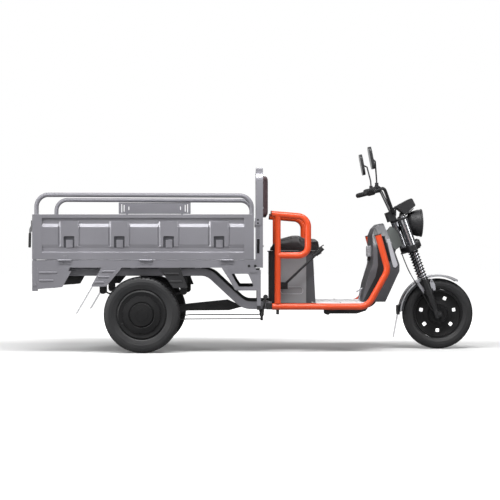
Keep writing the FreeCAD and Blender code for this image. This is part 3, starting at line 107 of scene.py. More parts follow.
class Net:
    """A node tree with short calls to place and join nodes."""

    def __init__(self, tree):
        self.tree = tree

    def add(self, kind, settings=None, **inputs):
        node = self.tree.nodes.new(kind)
        for key, value in (settings or {}).items():
            setattr(node, key, value)
        for key, value in inputs.items():
            self.feed(node, key.replace("_", " "), value)
        return node

    def feed(self, node, key, value):
        socket = node.inputs[int(key)] if key.isdigit() else node.inputs[key]
        if isinstance(value, bpy.types.NodeSocket):
            self.tree.links.new(value, socket)
        else:
            socket.default_value = value

    def maths(self, operation, a, b=0.0, clamp=False):
        node = self.tree.nodes.new("ShaderNodeMath")
        node.operation = operation
        node.use_clamp = clamp
        self.feed(node, "0", a)
        self.feed(node, "1", b)
        return node.outputs[0]

    def mixed(self, share, a, b):
        node = self.tree.nodes.new("ShaderNodeMix")
        node.data_type = "RGBA"
        self.feed(node, "0", share)
        self.feed(node, "6", a)
        self.feed(node, "7", b)
        return node.outputs[2]

    def ramp(self, value, low, high, to_low=0.0, to_high=1.0):
        node = self.tree.nodes.new("ShaderNodeMapRange")
        self.feed(node, "0", value)
        for i, v in enumerate((low, high, to_low, to_high)):
            node.inputs[i + 1].default_value = v
        return node.outputs[0]


def shader_group(name, inputs, outputs):
    """An empty group with named sockets; inputs are name: value, outputs are names."""
    tree = bpy.data.node_groups.new(name, "ShaderNodeTree")
    for key, value in inputs.items():
        tree.interface.new_socket(key, in_out="INPUT", socket_type="NodeSocketFloat").default_value = value
    for key in outputs:
        tree.interface.new_socket(key, in_out="OUTPUT", socket_type="NodeSocketFloat")
    net = Net(tree)
    return net, net.add("NodeGroupInput"), net.add("NodeGroupOutput")


def make_road_dust():
    """Dust that lies thicker near the ground and in patches; gives a mask."""
    net, inp, out = shader_group("road_dust", {"Amount": 0.3, "Height": 0.5}, ["Mask"])
    place = net.add("ShaderNodeTexCoord").outputs["Object"]
    z = net.add("ShaderNodeSeparateXYZ", Vector=place).outputs["Z"]
    low = net.maths("SUBTRACT", 1.0, net.maths("DIVIDE", z, inp.outputs["Height"]), clamp=True)
    cloud = net.add("ShaderNodeTexNoise", Vector=place, Scale=9.0, Detail=6.0).outputs["Fac"]
    patch = net.ramp(cloud, 0.35, 0.75)
    thin = net.maths("MULTIPLY", inp.outputs["Amount"], 0.5)
    mask = net.maths("MULTIPLY", net.maths("MULTIPLY", low, patch), thin, clamp=True)
    net.feed(out, "Mask", mask)
    return net.tree


def make_edge_wear_and_highlight():
    """A broken mask along the edges, for worn paint and a painted highlight on the edges."""
    net, inp, out = shader_group("edge_wear_and_highlight", {"Radius": 0.002, "Amount": 0.5}, ["Mask"])
    soft = net.add("ShaderNodeBevel", {"samples": 3}, Radius=inp.outputs["Radius"]).outputs["Normal"]
    hard = net.add("ShaderNodeNewGeometry").outputs["Normal"]
    dot = net.tree.nodes.new("ShaderNodeVectorMath")
    dot.operation = "DOT_PRODUCT"
    net.feed(dot, "0", soft)
    net.feed(dot, "1", hard)
    edge = net.ramp(net.maths("SUBTRACT", 1.0, dot.outputs["Value"]), 0.02, 0.14)
    place = net.add("ShaderNodeTexCoord").outputs["Object"]
    noise = net.add("ShaderNodeTexNoise", Vector=place, Scale=60.0, Detail=4.0).outputs["Fac"]
    broken = net.maths("MULTIPLY", edge, net.ramp(noise, 0.4, 0.62))
    net.feed(out, "Mask", net.maths("MULTIPLY", broken, inp.outputs["Amount"], clamp=True))
    return net.tree


def make_grain():
    """Fine surface grain as a height, and a slow change of tone as a mask."""
    net, inp, out = shader_group("surface_grain", {"Scale": 900.0, "Tone Scale": 4.0}, ["Height", "Tone"])
    place = net.add("ShaderNodeTexCoord").outputs["Object"]
    fine = net.add("ShaderNodeTexNoise", Vector=place, Scale=inp.outputs["Scale"], Detail=3.0)
    slow = net.add("ShaderNodeTexNoise", Vector=place, Scale=inp.outputs["Tone Scale"], Detail=5.0)
    net.feed(out, "Height", fine.outputs["Fac"])
    net.feed(out, "Tone", net.ramp(slow.outputs["Fac"], 0.3, 0.7))
    return net.tree


def make_hide_grain():
    """Pebbled cover grain with creases between the cells, as a height."""
    net, inp, out = shader_group("hide_grain", {"Scale": 380.0}, ["Height"])
    place = net.add("ShaderNodeTexCoord").outputs["Object"]
    cells = net.add("ShaderNodeTexVoronoi", {"feature": "DISTANCE_TO_EDGE"}, Vector=place,
                    Scale=inp.outputs["Scale"]).outputs["Distance"]
    noise = net.add("ShaderNodeTexNoise", Vector=place, Scale=90.0, Detail=5.0).outputs["Fac"]
    raised = net.ramp(cells, 0.0, 0.25)
    net.feed(out, "Height", net.maths("ADD", raised, net.maths("MULTIPLY", noise, 0.6)))
    return net.tree


ROAD_DUST = make_road_dust()
EDGE_WEAR_AND_HIGHLIGHT = make_edge_wear_and_highlight()
GRAIN = make_grain()
HIDE_GRAIN = make_hide_grain()
DUST_COLOUR = srgb(128, 126, 122)


def place_group(net, tree, **inputs):
    node = net.add("ShaderNodeGroup", {"node_tree": tree})
    for key, value in inputs.items():
        net.feed(node, key.replace("_", " "), value)
    return node


FINISHES = {}


def finish_of(name, colour, rough, metal=0.0, coat=0.0, grain=900.0, bump=0.05, tone=0.12, dust=0.25,
              wear_and_highlight=0.0, wear_and_highlight_colour=(188, 188, 191), hide=0.0, glow=0.0, shine=0.5):
    """One material: base colour with slow tone, dust near the ground, edges in a lighter colour that is partly
    wear and partly painted highlight, and a grain bump.

    colour and the lighter edge colour are screen values, 0 to 255. FINISHES keeps each material by its name."""
    colour = srgb(*colour)
    mat = bpy.data.materials.new(name)
    mat.use_nodes = True
    net = Net(mat.node_tree)
    shader = mat.node_tree.nodes["Principled BSDF"]
    surface = place_group(net, GRAIN, Scale=grain)
    dark = tuple(c * (1 - tone) for c in colour[:3]) + (1,)
    light = tuple(min(1, c * (1 + tone)) for c in colour[:3]) + (1,)
    paint = net.mixed(surface.outputs["Tone"], dark, light)
    roughness = net.ramp(surface.outputs["Tone"], 0, 1, rough * 0.9, rough * 1.1)
    # lighter edges: worn paint, and a painted highlight along the bevels
    if wear_and_highlight:
        edge = place_group(net, EDGE_WEAR_AND_HIGHLIGHT, Amount=wear_and_highlight)
        paint = net.mixed(edge.outputs["Mask"], paint, srgb(*wear_and_highlight_colour))
    if dust:
        dirt = place_group(net, ROAD_DUST, Amount=dust)
        paint = net.mixed(dirt.outputs["Mask"], paint, DUST_COLOUR)
        roughness = net.maths("ADD", net.maths("MULTIPLY", dirt.outputs["Mask"], 0.4), roughness)
    height = surface.outputs["Height"]
    if hide:
        height = place_group(net, HIDE_GRAIN, Scale=hide).outputs["Height"]
    lift = net.add("ShaderNodeBump", Strength=bump, Distance=0.001, Height=height)
    net.feed(shader, "Base Color", paint)
    net.feed(shader, "Roughness", roughness)
    net.feed(shader, "Normal", lift.outputs["Normal"])
    shader.inputs["Metallic"].default_value = metal
    shader.inputs["Coat Weight"].default_value = coat
    shader.inputs["Coat Roughness"].default_value = 0.12
    shader.inputs["Specular IOR Level"].default_value = shine
    shader.inputs["Emission Color"].default_value = colour
    # glow: painted light, a glow of the surface's own on parts that are no lamp
    shader.inputs["Emission Strength"].default_value = glow
    FINISHES[name] = mat
    return mat


# The slots' finishes
finish_of("body_grey", (138, 137, 143), 0.33, 0.42, 0.3, tone=0.04, wear_and_highlight=0.15,
          wear_and_highlight_colour=(176, 175, 180))
finish_of("guard_orange", (218, 72, 24), 0.38, 0.0, 0.25, tone=0.05, wear_and_highlight=0.12,
          wear_and_highlight_colour=(250, 130, 90))
finish_of("chassis_black", (36, 36, 38), 0.48, 0.1, 0.1, tone=0.15, dust=0.4, wear_and_highlight=0.2,
          wear_and_highlight_colour=(90, 90, 92))
finish_of("rubber_black", (34, 34, 35), 0.7, grain=700, bump=0.15, dust=0.3)
finish_of("tyre_rubber", (28, 28, 30), 0.56, grain=500, bump=0.2, dust=0.12)
finish_of("hub_black", (14, 14, 16), 0.5, shine=0.3, tone=0.1, dust=0.1, wear_and_highlight=0.15,
          wear_and_highlight_colour=(70, 70, 74))
finish_of("seat_cover", (30, 27, 29), 0.46, hide=420, bump=0.3, dust=0.0)
finish_of("backrest_cover", (80, 62, 65), 0.5, hide=420, bump=0.3, dust=0.0)
finish_of("plastic_dark", (66, 66, 70), 0.42, grain=1400, bump=0.15, tone=0.05)
finish_of("plastic_grey", (142, 142, 145), 0.45, grain=1400, bump=0.1, tone=0.05)
finish_of("trim_silver", (205, 205, 212), 0.32, 0.5, 0.3, tone=0.03, dust=0.0)
finish_of("floor_plate", (224, 224, 226), 0.4, 0.3, tone=0.04, dust=0.05)
# Painted light: the pale flaps glow a little, as if lit through
finish_of("flap_pale", (240, 240, 242), 0.5, tone=0.02, dust=0.0, glow=0.4)
finish_of("fork_steel", (150, 150, 154), 0.16, 1.0, tone=0.05, dust=0.1, bump=0.01)
finish_of("fork_black", (28, 28, 30), 0.36, 0.1, 0.2, tone=0.08, dust=0.15, wear_and_highlight=0.2,
          wear_and_highlight_colour=(110, 110, 112))
finish_of("lamp_red", (178, 20, 14), 0.12, coat=1.0, tone=0.1, dust=0.0, bump=0.02)

# The finishes of single parts
HOOP_GREY = finish_of("hoop_grey", (126, 125, 131), 0.5, 0.2, tone=0.04, wear_and_highlight=0.15,
                      wear_and_highlight_colour=(170, 169, 174))
# Painted shade under the side gates' top border
RECESS_SHADE = finish_of("recess_painted_shade", (52, 52, 56), 0.55, tone=0.04)
CHROME = finish_of("bright_chrome", (222, 223, 228), 0.12, 1.0, tone=0.03, dust=0.05, bump=0.01)
FENDER_STEEL = finish_of("fender_steel", (205, 205, 209), 0.3, 0.7, tone=0.04, dust=0.1, bump=0.01)
# Painted reflection: a darker copy of the fender chrome, for its side walls
CHROME_PAINTED_DARK = finish_of("chrome_painted_dark_reflection", (104, 104, 108), 0.24, 1.0, tone=0.05, dust=0.1, bump=0.01)
COIL_BLACK = finish_of("coil_black", (20, 20, 22), 0.45, tone=0.08, dust=0.0, bump=0.03, shine=0.4)
GLOSS_BLACK = finish_of("gloss_black", (26, 26, 28), 0.2, coat=0.8, tone=0.08, dust=0.0, bump=0.03)
PLASTIC_BLACK = finish_of("plastic_black", (36, 36, 38), 0.5, grain=1200, bump=0.2, dust=0.1)
# Painted shade on the seat box's rounded front corners
BOX_CORNER_SHADE = finish_of("box_corner_painted_shade", (72, 72, 76), 0.45, grain=1400, bump=0.1, tone=0.05)
# Painted shade in the side gates' pockets
POCKET_SHADE = finish_of("pocket_painted_shade", (84, 84, 89), 0.45, 0.3, 0.1, tone=0.04)
COVER_GREY = finish_of("cover_grey", (118, 122, 120), 0.4, grain=1400, bump=0.1, tone=0.05)
HEAD_GLASS = finish_of("head_glass", (92, 96, 100), 0.08, 0.5, 1.0, tone=0.05, dust=0.0, bump=0.02)
PORT_PALE = finish_of("port_pale", (176, 176, 180), 0.45, tone=0.03, dust=0.0)
MIRROR_GLASS = finish_of("mirror_glass", (226, 228, 230), 0.03, 1.0, tone=0.01, dust=0.0, bump=0.0)
LENS_GLASS = finish_of("lens_glass", (214, 218, 222), 0.08, 0.4, 1.0, tone=0.03, dust=0.0, bump=0.02)
LAMP_AMBER = finish_of("lamp_amber", (220, 110, 14), 0.12, coat=1.0, tone=0.1, dust=0.0, bump=0.02)
DISPLAY = finish_of("display_glass", (14, 17, 20), 0.06, coat=1.0, tone=0.1, dust=0.0, bump=0.0)
THREAD = finish_of("seam_thread", (96, 84, 86), 0.8, dust=0.0, bump=0.3)
ZINC = finish_of("zinc_steel", (168, 168, 170), 0.34, 0.9, tone=0.06, dust=0.15)


# Edges of the black channel on each side of the shield, as (z, x) in metres
SHIELD_SIDE_Y = 0.172
CHANNEL_REAR = ((0.32, 0.716), (0.408, 0.758), (0.497, 0.802), (0.575, 0.817), (0.675, 0.813), (0.764, 0.79),
                (0.86, 0.80))
CHANNEL_FRONT = ((0.32, 0.745), (0.4, 0.79), (0.48, 0.835), (0.56, 0.862), (0.64, 0.86), (0.764, 0.828),
                 (0.86, 0.80))


def step_curve(net, value, points):
    """A curve of X over Z through (z, x) points in metres."""
    low, high = points[0][0], points[-1][0]
    node = net.tree.nodes.new("ShaderNodeFloatCurve")
    curve = node.mapping.curves[0]
    while len(curve.points) < len(points):
        curve.points.new(0.5, 0.5)
    for knot, (z, x) in zip(curve.points, points):
        knot.location = ((z - low) / (high - low), x)
        knot.handle_type = "VECTOR"
    node.mapping.update()
    net.feed(node, "Value", net.ramp(value, low, high))
    return node.outputs[0]


def shield_skin():
    """The shield's finish: a black channel down each side, with a paler panel behind it."""
    mat = finish_of("shield_skin", (70, 70, 74), 0.42, grain=1400, bump=0.15, tone=0.05)
    net = Net(mat.node_tree)
    shader = mat.node_tree.nodes["Principled BSDF"]
    paint = shader.inputs["Base Color"].links[0].from_socket
    place = net.add("ShaderNodeSeparateXYZ", Vector=net.add("ShaderNodeTexCoord").outputs["Object"])
    x = place.outputs["X"]
    z = place.outputs["Z"]
    side = net.maths("GREATER_THAN", net.maths("ABSOLUTE", place.outputs["Y"]), SHIELD_SIDE_Y)
    rear = step_curve(net, z, CHANNEL_REAR)
    front = step_curve(net, z, CHANNEL_FRONT)
    behind = net.maths("MULTIPLY", net.maths("LESS_THAN", x, rear), side)
    channel = net.maths("MULTIPLY", net.maths("LESS_THAN", x, front), side)
    paint = net.mixed(channel, paint, srgb(24, 24, 26))
    paint = net.mixed(behind, paint, srgb(88, 88, 92))
    net.feed(shader, "Base Color", paint)
    return mat


SHIELD_SKIN = shield_skin()


# Mesh building
def to_scene(obj):
    if obj.name not in bpy.context.scene.collection.all_objects:
        bpy.context.scene.collection.objects.link(obj)
    return obj


def evaluated_mesh(obj):
    """The object's mesh with its modifiers applied."""
    bpy.context.view_layer.update()
    return bpy.data.meshes.new_from_object(obj.evaluated_get(bpy.context.evaluated_depsgraph_get()))


def applied(obj):
    """Makes the modifiers part of the mesh."""
    made = evaluated_mesh(obj)
    obj.modifiers.clear()
    obj.data = made


def finished(obj, body, slot, material=None, replaces=()):
    """Applies the modifiers, gives the finish, and lets the piece ride on its body."""
    to_scene(obj)
    if obj.modifiers:
        applied(obj)
    if material is not None or not obj.data.materials:
        obj.data.materials.clear()
        obj.data.materials.append(material or FINISHES[slot])
    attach(obj, body)
    if replaces:
        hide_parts(*replaces)
    return obj


def smooth_by_angle(mesh, degrees=32):
    mesh.shade_smooth()
    mesh.set_sharp_from_angle(angle=math.radians(degrees))


def eased(obj, width, angle=34):
    """Adds a small rounding to the sharp edges."""
    ease = obj.modifiers.new("ease", "BEVEL")
    ease.width = width * MM
    ease.segments = 2
    ease.limit_method = "ANGLE"
    ease.angle_limit = math.radians(angle)
    ease.harden_normals = True
    ease.use_clamp_overlap = True


def dressed(node, bevel=1.2, material=None, angle=34, zones=(), cuts=()):
    """A CAD node with its flat faces joined, its edges eased and its round faces smooth.

    zones are (material, test) pairs; a face takes the last one whose test(centre, normal) holds, in mm.
    cuts are (axis, place) pairs, in mm, where faces are split first."""
    mesh = frame["nodes"][node].data.copy()
    mesh.materials.clear()
    bm = bmesh.new()
    bm.from_mesh(mesh)
    bmesh.ops.remove_doubles(bm, verts=bm.verts, dist=0.00002)
    bmesh.ops.dissolve_limit(bm, angle_limit=math.radians(0.6), verts=bm.verts, edges=bm.edges)
    for axis, place in cuts:
        way = Vector([float(axis == i) for i in range(3)])
        bmesh.ops.bisect_plane(bm, geom=bm.verts[:] + bm.edges[:] + bm.faces[:], plane_co=way * place * MM,
                               plane_no=way)
    bm.to_mesh(mesh)
    bm.free()
    if "custom_normal" in mesh.attributes:
        mesh.attributes.remove(mesh.attributes["custom_normal"])
    mesh.materials.append(material or FINISHES[SLOT_OF[node]])
    for i, (paint, test) in enumerate(zones):
        mesh.materials.append(paint)
        for face in mesh.polygons:
            if test(face.center / MM, face.normal):
                face.material_index = i + 1
    obj = bpy.data.objects.new(node + "_dressed", mesh)
    smooth_by_angle(mesh, angle)
    if bevel:
        eased(obj, bevel, angle)
    return finished(obj, BODY_OF[node], SLOT_OF[node], None, replaces=(node,))


def mesh_object(name, points, faces, sharp=32):
    """A mesh from points in millimetres, with its faces turned outward."""
    mesh = bpy.data.meshes.new(name)
    mesh.from_pydata([tuple(c * MM for c in p) for p in points], [], faces)
    bm = bmesh.new()
    bm.from_mesh(mesh)
    bmesh.ops.remove_doubles(bm, verts=bm.verts, dist=0.000005)
    bmesh.ops.recalc_face_normals(bm, faces=bm.faces)
    bm.to_mesh(mesh)
    bm.free()
    smooth_by_angle(mesh, sharp)
    return bpy.data.objects.new(name, mesh)


def joined(name, objects):
    """Several loose objects as one mesh; the pieces they came from are removed."""
    bm = bmesh.new()
    materials = []
    for obj in objects:
        for mat in obj.data.materials:
            if mat not in materials:
                materials.append(mat)
        before = len(bm.faces)
        bm.from_mesh(obj.data)
        bm.faces.ensure_lookup_table()
        for face in bm.faces[before:]:
            if obj.data.materials:
                face.material_index = materials.index(obj.data.materials[face.material_index])
    mesh = bpy.data.meshes.new(name)
    for mat in materials:
        mesh.materials.append(mat)
    bm.to_mesh(mesh)
    bm.free()
    for obj in objects:
        bpy.data.objects.remove(obj)
    smooth_by_angle(mesh)
    return bpy.data.objects.new(name, mesh)


def mirrored_copy(obj, name):
    """The same piece on the other side of the vehicle."""
    mesh = obj.data.copy()
    mesh.transform(Matrix.Scale(-1, 4, (0, 1, 0)))
    mesh.flip_normals()
    return bpy.data.objects.new(name, mesh)


def softened(points, rounds=2):
    """A polyline with its corners cut, so that it turns smoothly."""
    for _ in range(rounds):
        cut = [points[0]]
        for a, b in zip(points, points[1:]):
            cut.append(tuple(p * 0.75 + q * 0.25 for p, q in zip(a, b)))
            cut.append(tuple(p * 0.25 + q * 0.75 for p, q in zip(a, b)))
        points = cut + [points[-1]]
    return points


def stepped(points, step):
    """A polyline with extra points, so that none of its runs is longer than step."""
    out = [points[0]]
    for a, b in zip(points, points[1:]):
        count = max(1, math.ceil(math.dist(a, b) / step))
        for i in range(1, count + 1):
            out.append(tuple(p + (q - p) * i / count for p, q in zip(a, b)))
    return out


def round_angles(count):
    """Equal angles round a full turn."""
    return [2 * math.pi * i / count for i in range(count)]


def ring_faces(steps, n):
    """The faces of a closed outline of n points that is turned in a number of steps."""
    faces = []
    for i in range(steps):
        j = (i + 1) % steps
        for k in range(n):
            m = (k + 1) % n
            faces.append((i * n + k, j * n + k, j * n + m, i * n + m))
    return faces


def turned(name, profile, centre, steps, sink):
    """A profile of (radius, y) turned round an axle along Y; sink(angle, radius, y) lowers a point."""
    x, z, y0 = centre
    points = []
    for a in round_angles(steps):
        for r, y in profile:
            radius = r - sink(a, r, y)
            points.append((x + radius * math.cos(a), y0 + y, z + radius * math.sin(a)))
    return mesh_object(name, points, ring_faces(steps, len(profile)))


def tube_mesh(name, path, radius, closed=False, sides=8):
    """A round tube along points in millimetres, with closed ends."""
    line = [Vector(p) for p in path]
    count = len(line)
    points = []
    side = None
    for i, p in enumerate(line):
        if closed:
            ahead = line[(i + 1) % count] - line[i - 1]
        else:
            ahead = line[min(i + 1, count - 1)] - line[max(i - 1, 0)]
        ahead.normalize()
        if side is None:
            side = ahead.orthogonal().normalized()
        side = (side - ahead * side.dot(ahead)).normalized()
        other = ahead.cross(side)
        for k in range(sides):
            a = 2 * math.pi * k / sides
            points.append(tuple(p + (side * math.cos(a) + other * math.sin(a)) * radius))
    faces = []
    for i in range(count if closed else count - 1):
        j = (i + 1) % count
        if closed and j == 0:
            first = [Vector(points[k]) for k in range(sides)]
            last = Vector(points[i * sides])
            turn = min(range(sides), key=lambda k: (first[k] - last).length)
        else:
            turn = 0
        for k in range(sides):
            m = (k + 1) % sides
            faces.append((i * sides + k, i * sides + m, j * sides + (m + turn) % sides,
                          j * sides + (k + turn) % sides))
    if not closed:
        faces.append(tuple(range(sides))[::-1])
        faces.append(tuple((count - 1) * sides + k for k in range(sides)))
    return mesh_object(name, points, faces, 50)


def rounded_outline(corners, radius, steps=5):
    """Outline points of a convex polygon with rounded corners."""
    out = []
    n = len(corners)
    for i in range(n):
        p = Vector(corners[i])
        a = (Vector(corners[i - 1]) - p).normalized()
        b = (Vector(corners[(i + 1) % n]) - p).normalized()
        for k in range(steps + 1):
            t = k / steps
            out.append(p + a * radius * (1 - t) ** 2 + b * radius * t ** 2)
    return [tuple(p) for p in out]


def slab(name, outline, place, depth, bevel=0.8):
    """A flat plate: outline points (u, v), place(u, v, w) gives the point, w from 0 to depth."""
    n = len(outline)
    points = [place(u, v, 0) for u, v in outline] + [place(u, v, depth) for u, v in outline]
    faces = [tuple(range(n))[::-1], tuple(range(n, 2 * n))]
    faces += [(i, (i + 1) % n, n + (i + 1) % n, n + i) for i in range(n)]
    obj = to_scene(mesh_object(name, points, faces))
    if bevel:
        eased(obj, bevel)
        applied(obj)
    return obj


def side_slab(name, corners, radius, y0, y1, bevel=0.8):
    """A plate seen from the side, from y0 to y1."""
    return slab(name, rounded_outline(corners, radius), lambda u, v, w: (u, y0 + w, v), y1 - y0, bevel)


# Repeated small parts, made by geometry nodes
def geometry_group(name, sizes):
    tree = bpy.data.node_groups.new(name, "GeometryNodeTree")
    tree.interface.new_socket("Geometry", in_out="INPUT", socket_type="NodeSocketGeometry")
    for key, value in sizes.items():
        tree.interface.new_socket(key, in_out="INPUT", socket_type="NodeSocketFloat").default_value = value
    tree.interface.new_socket("Finish", in_out="INPUT", socket_type="NodeSocketMaterial")
    tree.interface.new_socket("Geometry", in_out="OUTPUT", socket_type="NodeSocketGeometry")
    net = Net(tree)
    return net, net.add("NodeGroupInput"), net.add("NodeGroupOutput")


def stamp_on_points(net, inp, out, stamp):
    """Places the stamp on each point, its Z along the aim and its X along the run."""
    aim = net.add("GeometryNodeInputNamedAttribute", {"data_type": "FLOAT_VECTOR"}, Name="aim")
    run = net.add("GeometryNodeInputNamedAttribute", {"data_type": "FLOAT_VECTOR"}, Name="run")
    first = net.add("FunctionNodeAlignEulerToVector", {"axis": "Z"}, Vector=aim.outputs["Attribute"])
    both = net.add("FunctionNodeAlignEulerToVector", {"axis": "X", "pivot_axis": "Z"},
                   Rotation=first.outputs["Rotation"], Vector=run.outputs["Attribute"])
    spread = net.add("GeometryNodeInstanceOnPoints", Points=inp.outputs["Geometry"], Instance=stamp,
                     Rotation=both.outputs["Rotation"])
    real = net.add("GeometryNodeRealizeInstances", Geometry=spread.outputs["Instances"])
    painted = net.add("GeometryNodeSetMaterial", Geometry=real.outputs["Geometry"],
                      Material=inp.outputs["Finish"])
    net.feed(out, "Geometry", painted.outputs["Geometry"])


def make_bolt_field():
    """A hexagon head with a chamfered top on a round washer, at each point."""
    net, inp, out = geometry_group("bolt_field", {"Radius": 0.006, "Height": 0.004})
    radius = inp.outputs["Radius"]
    height = inp.outputs["Height"]

    def lifted(mesh, share):
        up = net.add("ShaderNodeCombineXYZ", Z=net.maths("MULTIPLY", height, share))
        return net.add("GeometryNodeTransform", Geometry=mesh, Translation=up.outputs["Vector"])

    washer = net.add("GeometryNodeMeshCylinder", Vertices=28, Radius=net.maths("MULTIPLY", radius, 1.35),
                     Depth=net.maths("MULTIPLY", height, 0.3))
    head = net.add("GeometryNodeMeshCylinder", Vertices=6, Radius=radius,
                   Depth=net.maths("MULTIPLY", height, 0.6))
    top = net.add("GeometryNodeMeshCone", Vertices=24, Side_Segments=2)
    net.feed(top, "Radius Top", net.maths("MULTIPLY", radius, 0.55))
    net.feed(top, "Radius Bottom", net.maths("MULTIPLY", radius, 0.84))
    net.feed(top, "Depth", net.maths("MULTIPLY", height, 0.14))
    whole = net.add("GeometryNodeJoinGeometry")
    for part, share in ((washer, 0.15), (head, 0.6), (top, 0.9)):
        net.tree.links.new(lifted(part.outputs["Mesh"], share).outputs["Geometry"], whole.inputs["Geometry"])
    stamp_on_points(net, inp, out, whole.outputs["Geometry"])
    return net.tree


def make_grain_field():
    """A long smooth grain, such as a stitch or a chequer mark, at each point."""
    net, inp, out = geometry_group("grain_field", {"Length": 0.006, "Width": 0.001, "Height": 0.001})
    ball = net.add("GeometryNodeMeshUVSphere", Segments=10, Rings=6, Radius=0.5)
    size = net.add("ShaderNodeCombineXYZ", X=inp.outputs["Length"], Y=inp.outputs["Width"],
                   Z=inp.outputs["Height"])
    shaped = net.add("GeometryNodeTransform", Geometry=ball.outputs["Mesh"], Scale=size.outputs["Vector"])
    smooth = net.add("GeometryNodeSetShadeSmooth", Geometry=shaped.outputs["Geometry"])
    stamp_on_points(net, inp, out, smooth.outputs["Geometry"])
    return net.tree


BOLT_FIELD = make_bolt_field()
GRAIN_FIELD = make_grain_field()


def field(name, group, spots, body, slot, material, **sizes):
    """Stamps on spots of (place, aim, run), places in millimetres, sizes in millimetres."""
    mesh = bpy.data.meshes.new(name)
    mesh.from_pydata([tuple(c * MM for c in s[0]) for s in spots], [], [])
    for key, column in (("aim", 1), ("run", 2)):
        data = mesh.attributes.new(key, "FLOAT_VECTOR", "POINT")
        for i, spot in enumerate(spots):
            data.data[i].vector = Vector(spot[column]).normalized()
    obj = to_scene(bpy.data.objects.new(name, mesh))
    modifier = obj.modifiers.new("repeat", "NODES")
    modifier.node_group = group
    for item in group.interface.items_tree:
        if item.in_out == "INPUT" and item.name.lower() in sizes:
            modifier[item.identifier] = sizes[item.name.lower()] * MM
        if item.in_out == "INPUT" and item.name == "Finish":
            modifier[item.identifier] = material
    return finished(obj, body, slot)


def bolts(name, spots, body, slot="fork_black", material=None, radius=6.0, height=5.0):
    """Bolts at (place, outward) spots."""
    full = [(p, aim, Vector(aim).orthogonal()) for p, aim in spots]
    return field(name, BOLT_FIELD, full, body, slot, material or ZINC, radius=radius, height=height)


# Fork places
def fork_point(s, n=0.0, y=0.0):
    """A point s along the fork legs, n ahead of the leg's line and y across."""
    base = Vector((FRONT_AXLE[0] - LEG_SETBACK * FORK_AHEAD.x, 0, FRONT_AXLE[1] - LEG_SETBACK * FORK_AHEAD.z))
    return base + FORK_UP * s + FORK_AHEAD * n + Vector((0, y, 0))


def along_fork(point):
    return (Vector(point) - fork_point(0)).dot(FORK_UP)


# The brake cable, a curve from the lower yoke to the fork leg's foot
def brake_cable():
    # along the fork, ahead of the axle, and across
    route = ((465.7, -98, -70), (400, -98, -70), (300, -88, -72), (200, -62, -76), (110, -46, -82),
             (40, -35.6, -92))
    points = [fork_point(s, n + LEG_SETBACK, y) * MM for s, n, y in route]
    curve = bpy.data.curves.new("brake_cable_run", "CURVE")
    curve.dimensions = "3D"
    curve.resolution_u = 16
    curve.bevel_depth = 0.0035
    curve.bevel_resolution = 4
    curve.use_fill_caps = True
    spline = curve.splines.new("NURBS")
    spline.points.add(len(points) - 1)
    for knot, p in zip(spline.points, points):
        knot.co = (*p, 1)
    spline.order_u = 3
    spline.use_endpoint_u = True
    curve.materials.append(FINISHES["rubber_black"])
    obj = to_scene(bpy.data.objects.new("brake_cable_run", curve))
    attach(obj, "steering")
    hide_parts("brake_cable")


brake_cable()

# The pieces with one finish all over, by how far their edges are eased
PLAIN_PIECES = {
    0.5: ("front_flap", "mudflaps", "rail_plate", "floor_tubes", "guard_hoops"),
    0.6: ("hand_grips",),
    0.8: ("brake_pedal",),
    1.0: ("rear_hub_right", "rear_hub_left", "front_rim", "rear_axle", "drive_motor", "brake_linkage",
          "leaf_springs", "rear_beam", "arch_guards", "footboard"),
    1.2: ("bed_floor", "shield_trim"),
    1.5: ("headboard", "fork_crown"),
    2.0: ("battery",)}
for bevel, nodes in PLAIN_PIECES.items():
    for node in nodes:
        dressed(node, bevel)


# Wheels
def tyre_profile(radius, width, rim_r):
    """Sidewall and tread outline as (radius, y), from the near rim edge to the far one."""
    w = width / 2 - 0.5
    r = radius - 0.3
    side = [(rim_r + 0.6, -w * 0.66), (rim_r + 7, -w * 0.8), (radius * 0.78, -w * 0.96),
            (radius * 0.84, -w * 0.985), (radius * 0.9, -w * 0.94), (radius * 0.955, -w * 0.82),
            (radius * 0.984, -w * 0.62), (r - 0.6, -w * 0.4), (r, 0)]
    curve = stepped(softened(side, 3), 3.4)
    lines = (radius * 0.79, radius * 0.865, rim_r + 9)
    ridged = []
    for rr, y in curve:
        ridge = sum(0.9 * math.exp(-((rr - line) / 1.6) ** 2) for line in lines)
        ridged.append((rr, max(-w - 0.4, y - ridge)))
    return ridged + [(rr, -y) for rr, y in ridged[-2::-1]]


def tread_sink(radius, width, blocks):
    """How deep the tread is cut at an angle and a place across it."""
    half = width / 2

    def sink(angle, r, y):
        if r < radius * 0.93:
            return 0.0
        across = abs(y) / half
        pitch = 2 * math.pi / blocks
        phase = (angle / pitch + (0.5 if y < 0 else 0.0)) % 1.0
        lead = (phase - 0.25 - across * 0.35) % 1.0
        cut = 0.0
        if 0.34 < across < 0.86 and min(lead, 1 - lead) < 0.1:
            cut = 4.0
        zigzag = 0.2 + 0.05 * math.sin(angle * blocks)
        if abs(across - zigzag) < 0.045:
            cut = 5.0
        return cut
    return sink


def tyre(node, radius, width, rim_r, axle, y0, blocks):
    obj = turned(node + "_tread", tyre_profile(radius, width, rim_r), (axle[0], axle[1], y0), 8 * blocks,
                 sink=tread_sink(radius, width, blocks))
    finished(obj, BODY_OF[node], "tyre_rubber", replaces=(node,))


tyre("rear_tyre_right", REAR_TYRE_R, REAR_TYRE_W, REAR_RIM_R, REAR_AXLE, -REAR_TRACK_Y, 52)
tyre("rear_tyre_left", REAR_TYRE_R, REAR_TYRE_W, REAR_RIM_R, REAR_AXLE, REAR_TRACK_Y, 52)
tyre("front_tyre", FRONT_TYRE_R, FRONT_TYRE_W, FRONT_RIM_R, FRONT_AXLE, 0, 50)


def ring(name, radius, y, centre, thick):
    """A thin round bead about an axle."""
    x, z = centre
    path = [(x + radius * math.cos(a), y, z + radius * math.sin(a)) for a in round_angles(96)]
    return tube_mesh(name, path, thick, closed=True, sides=8)


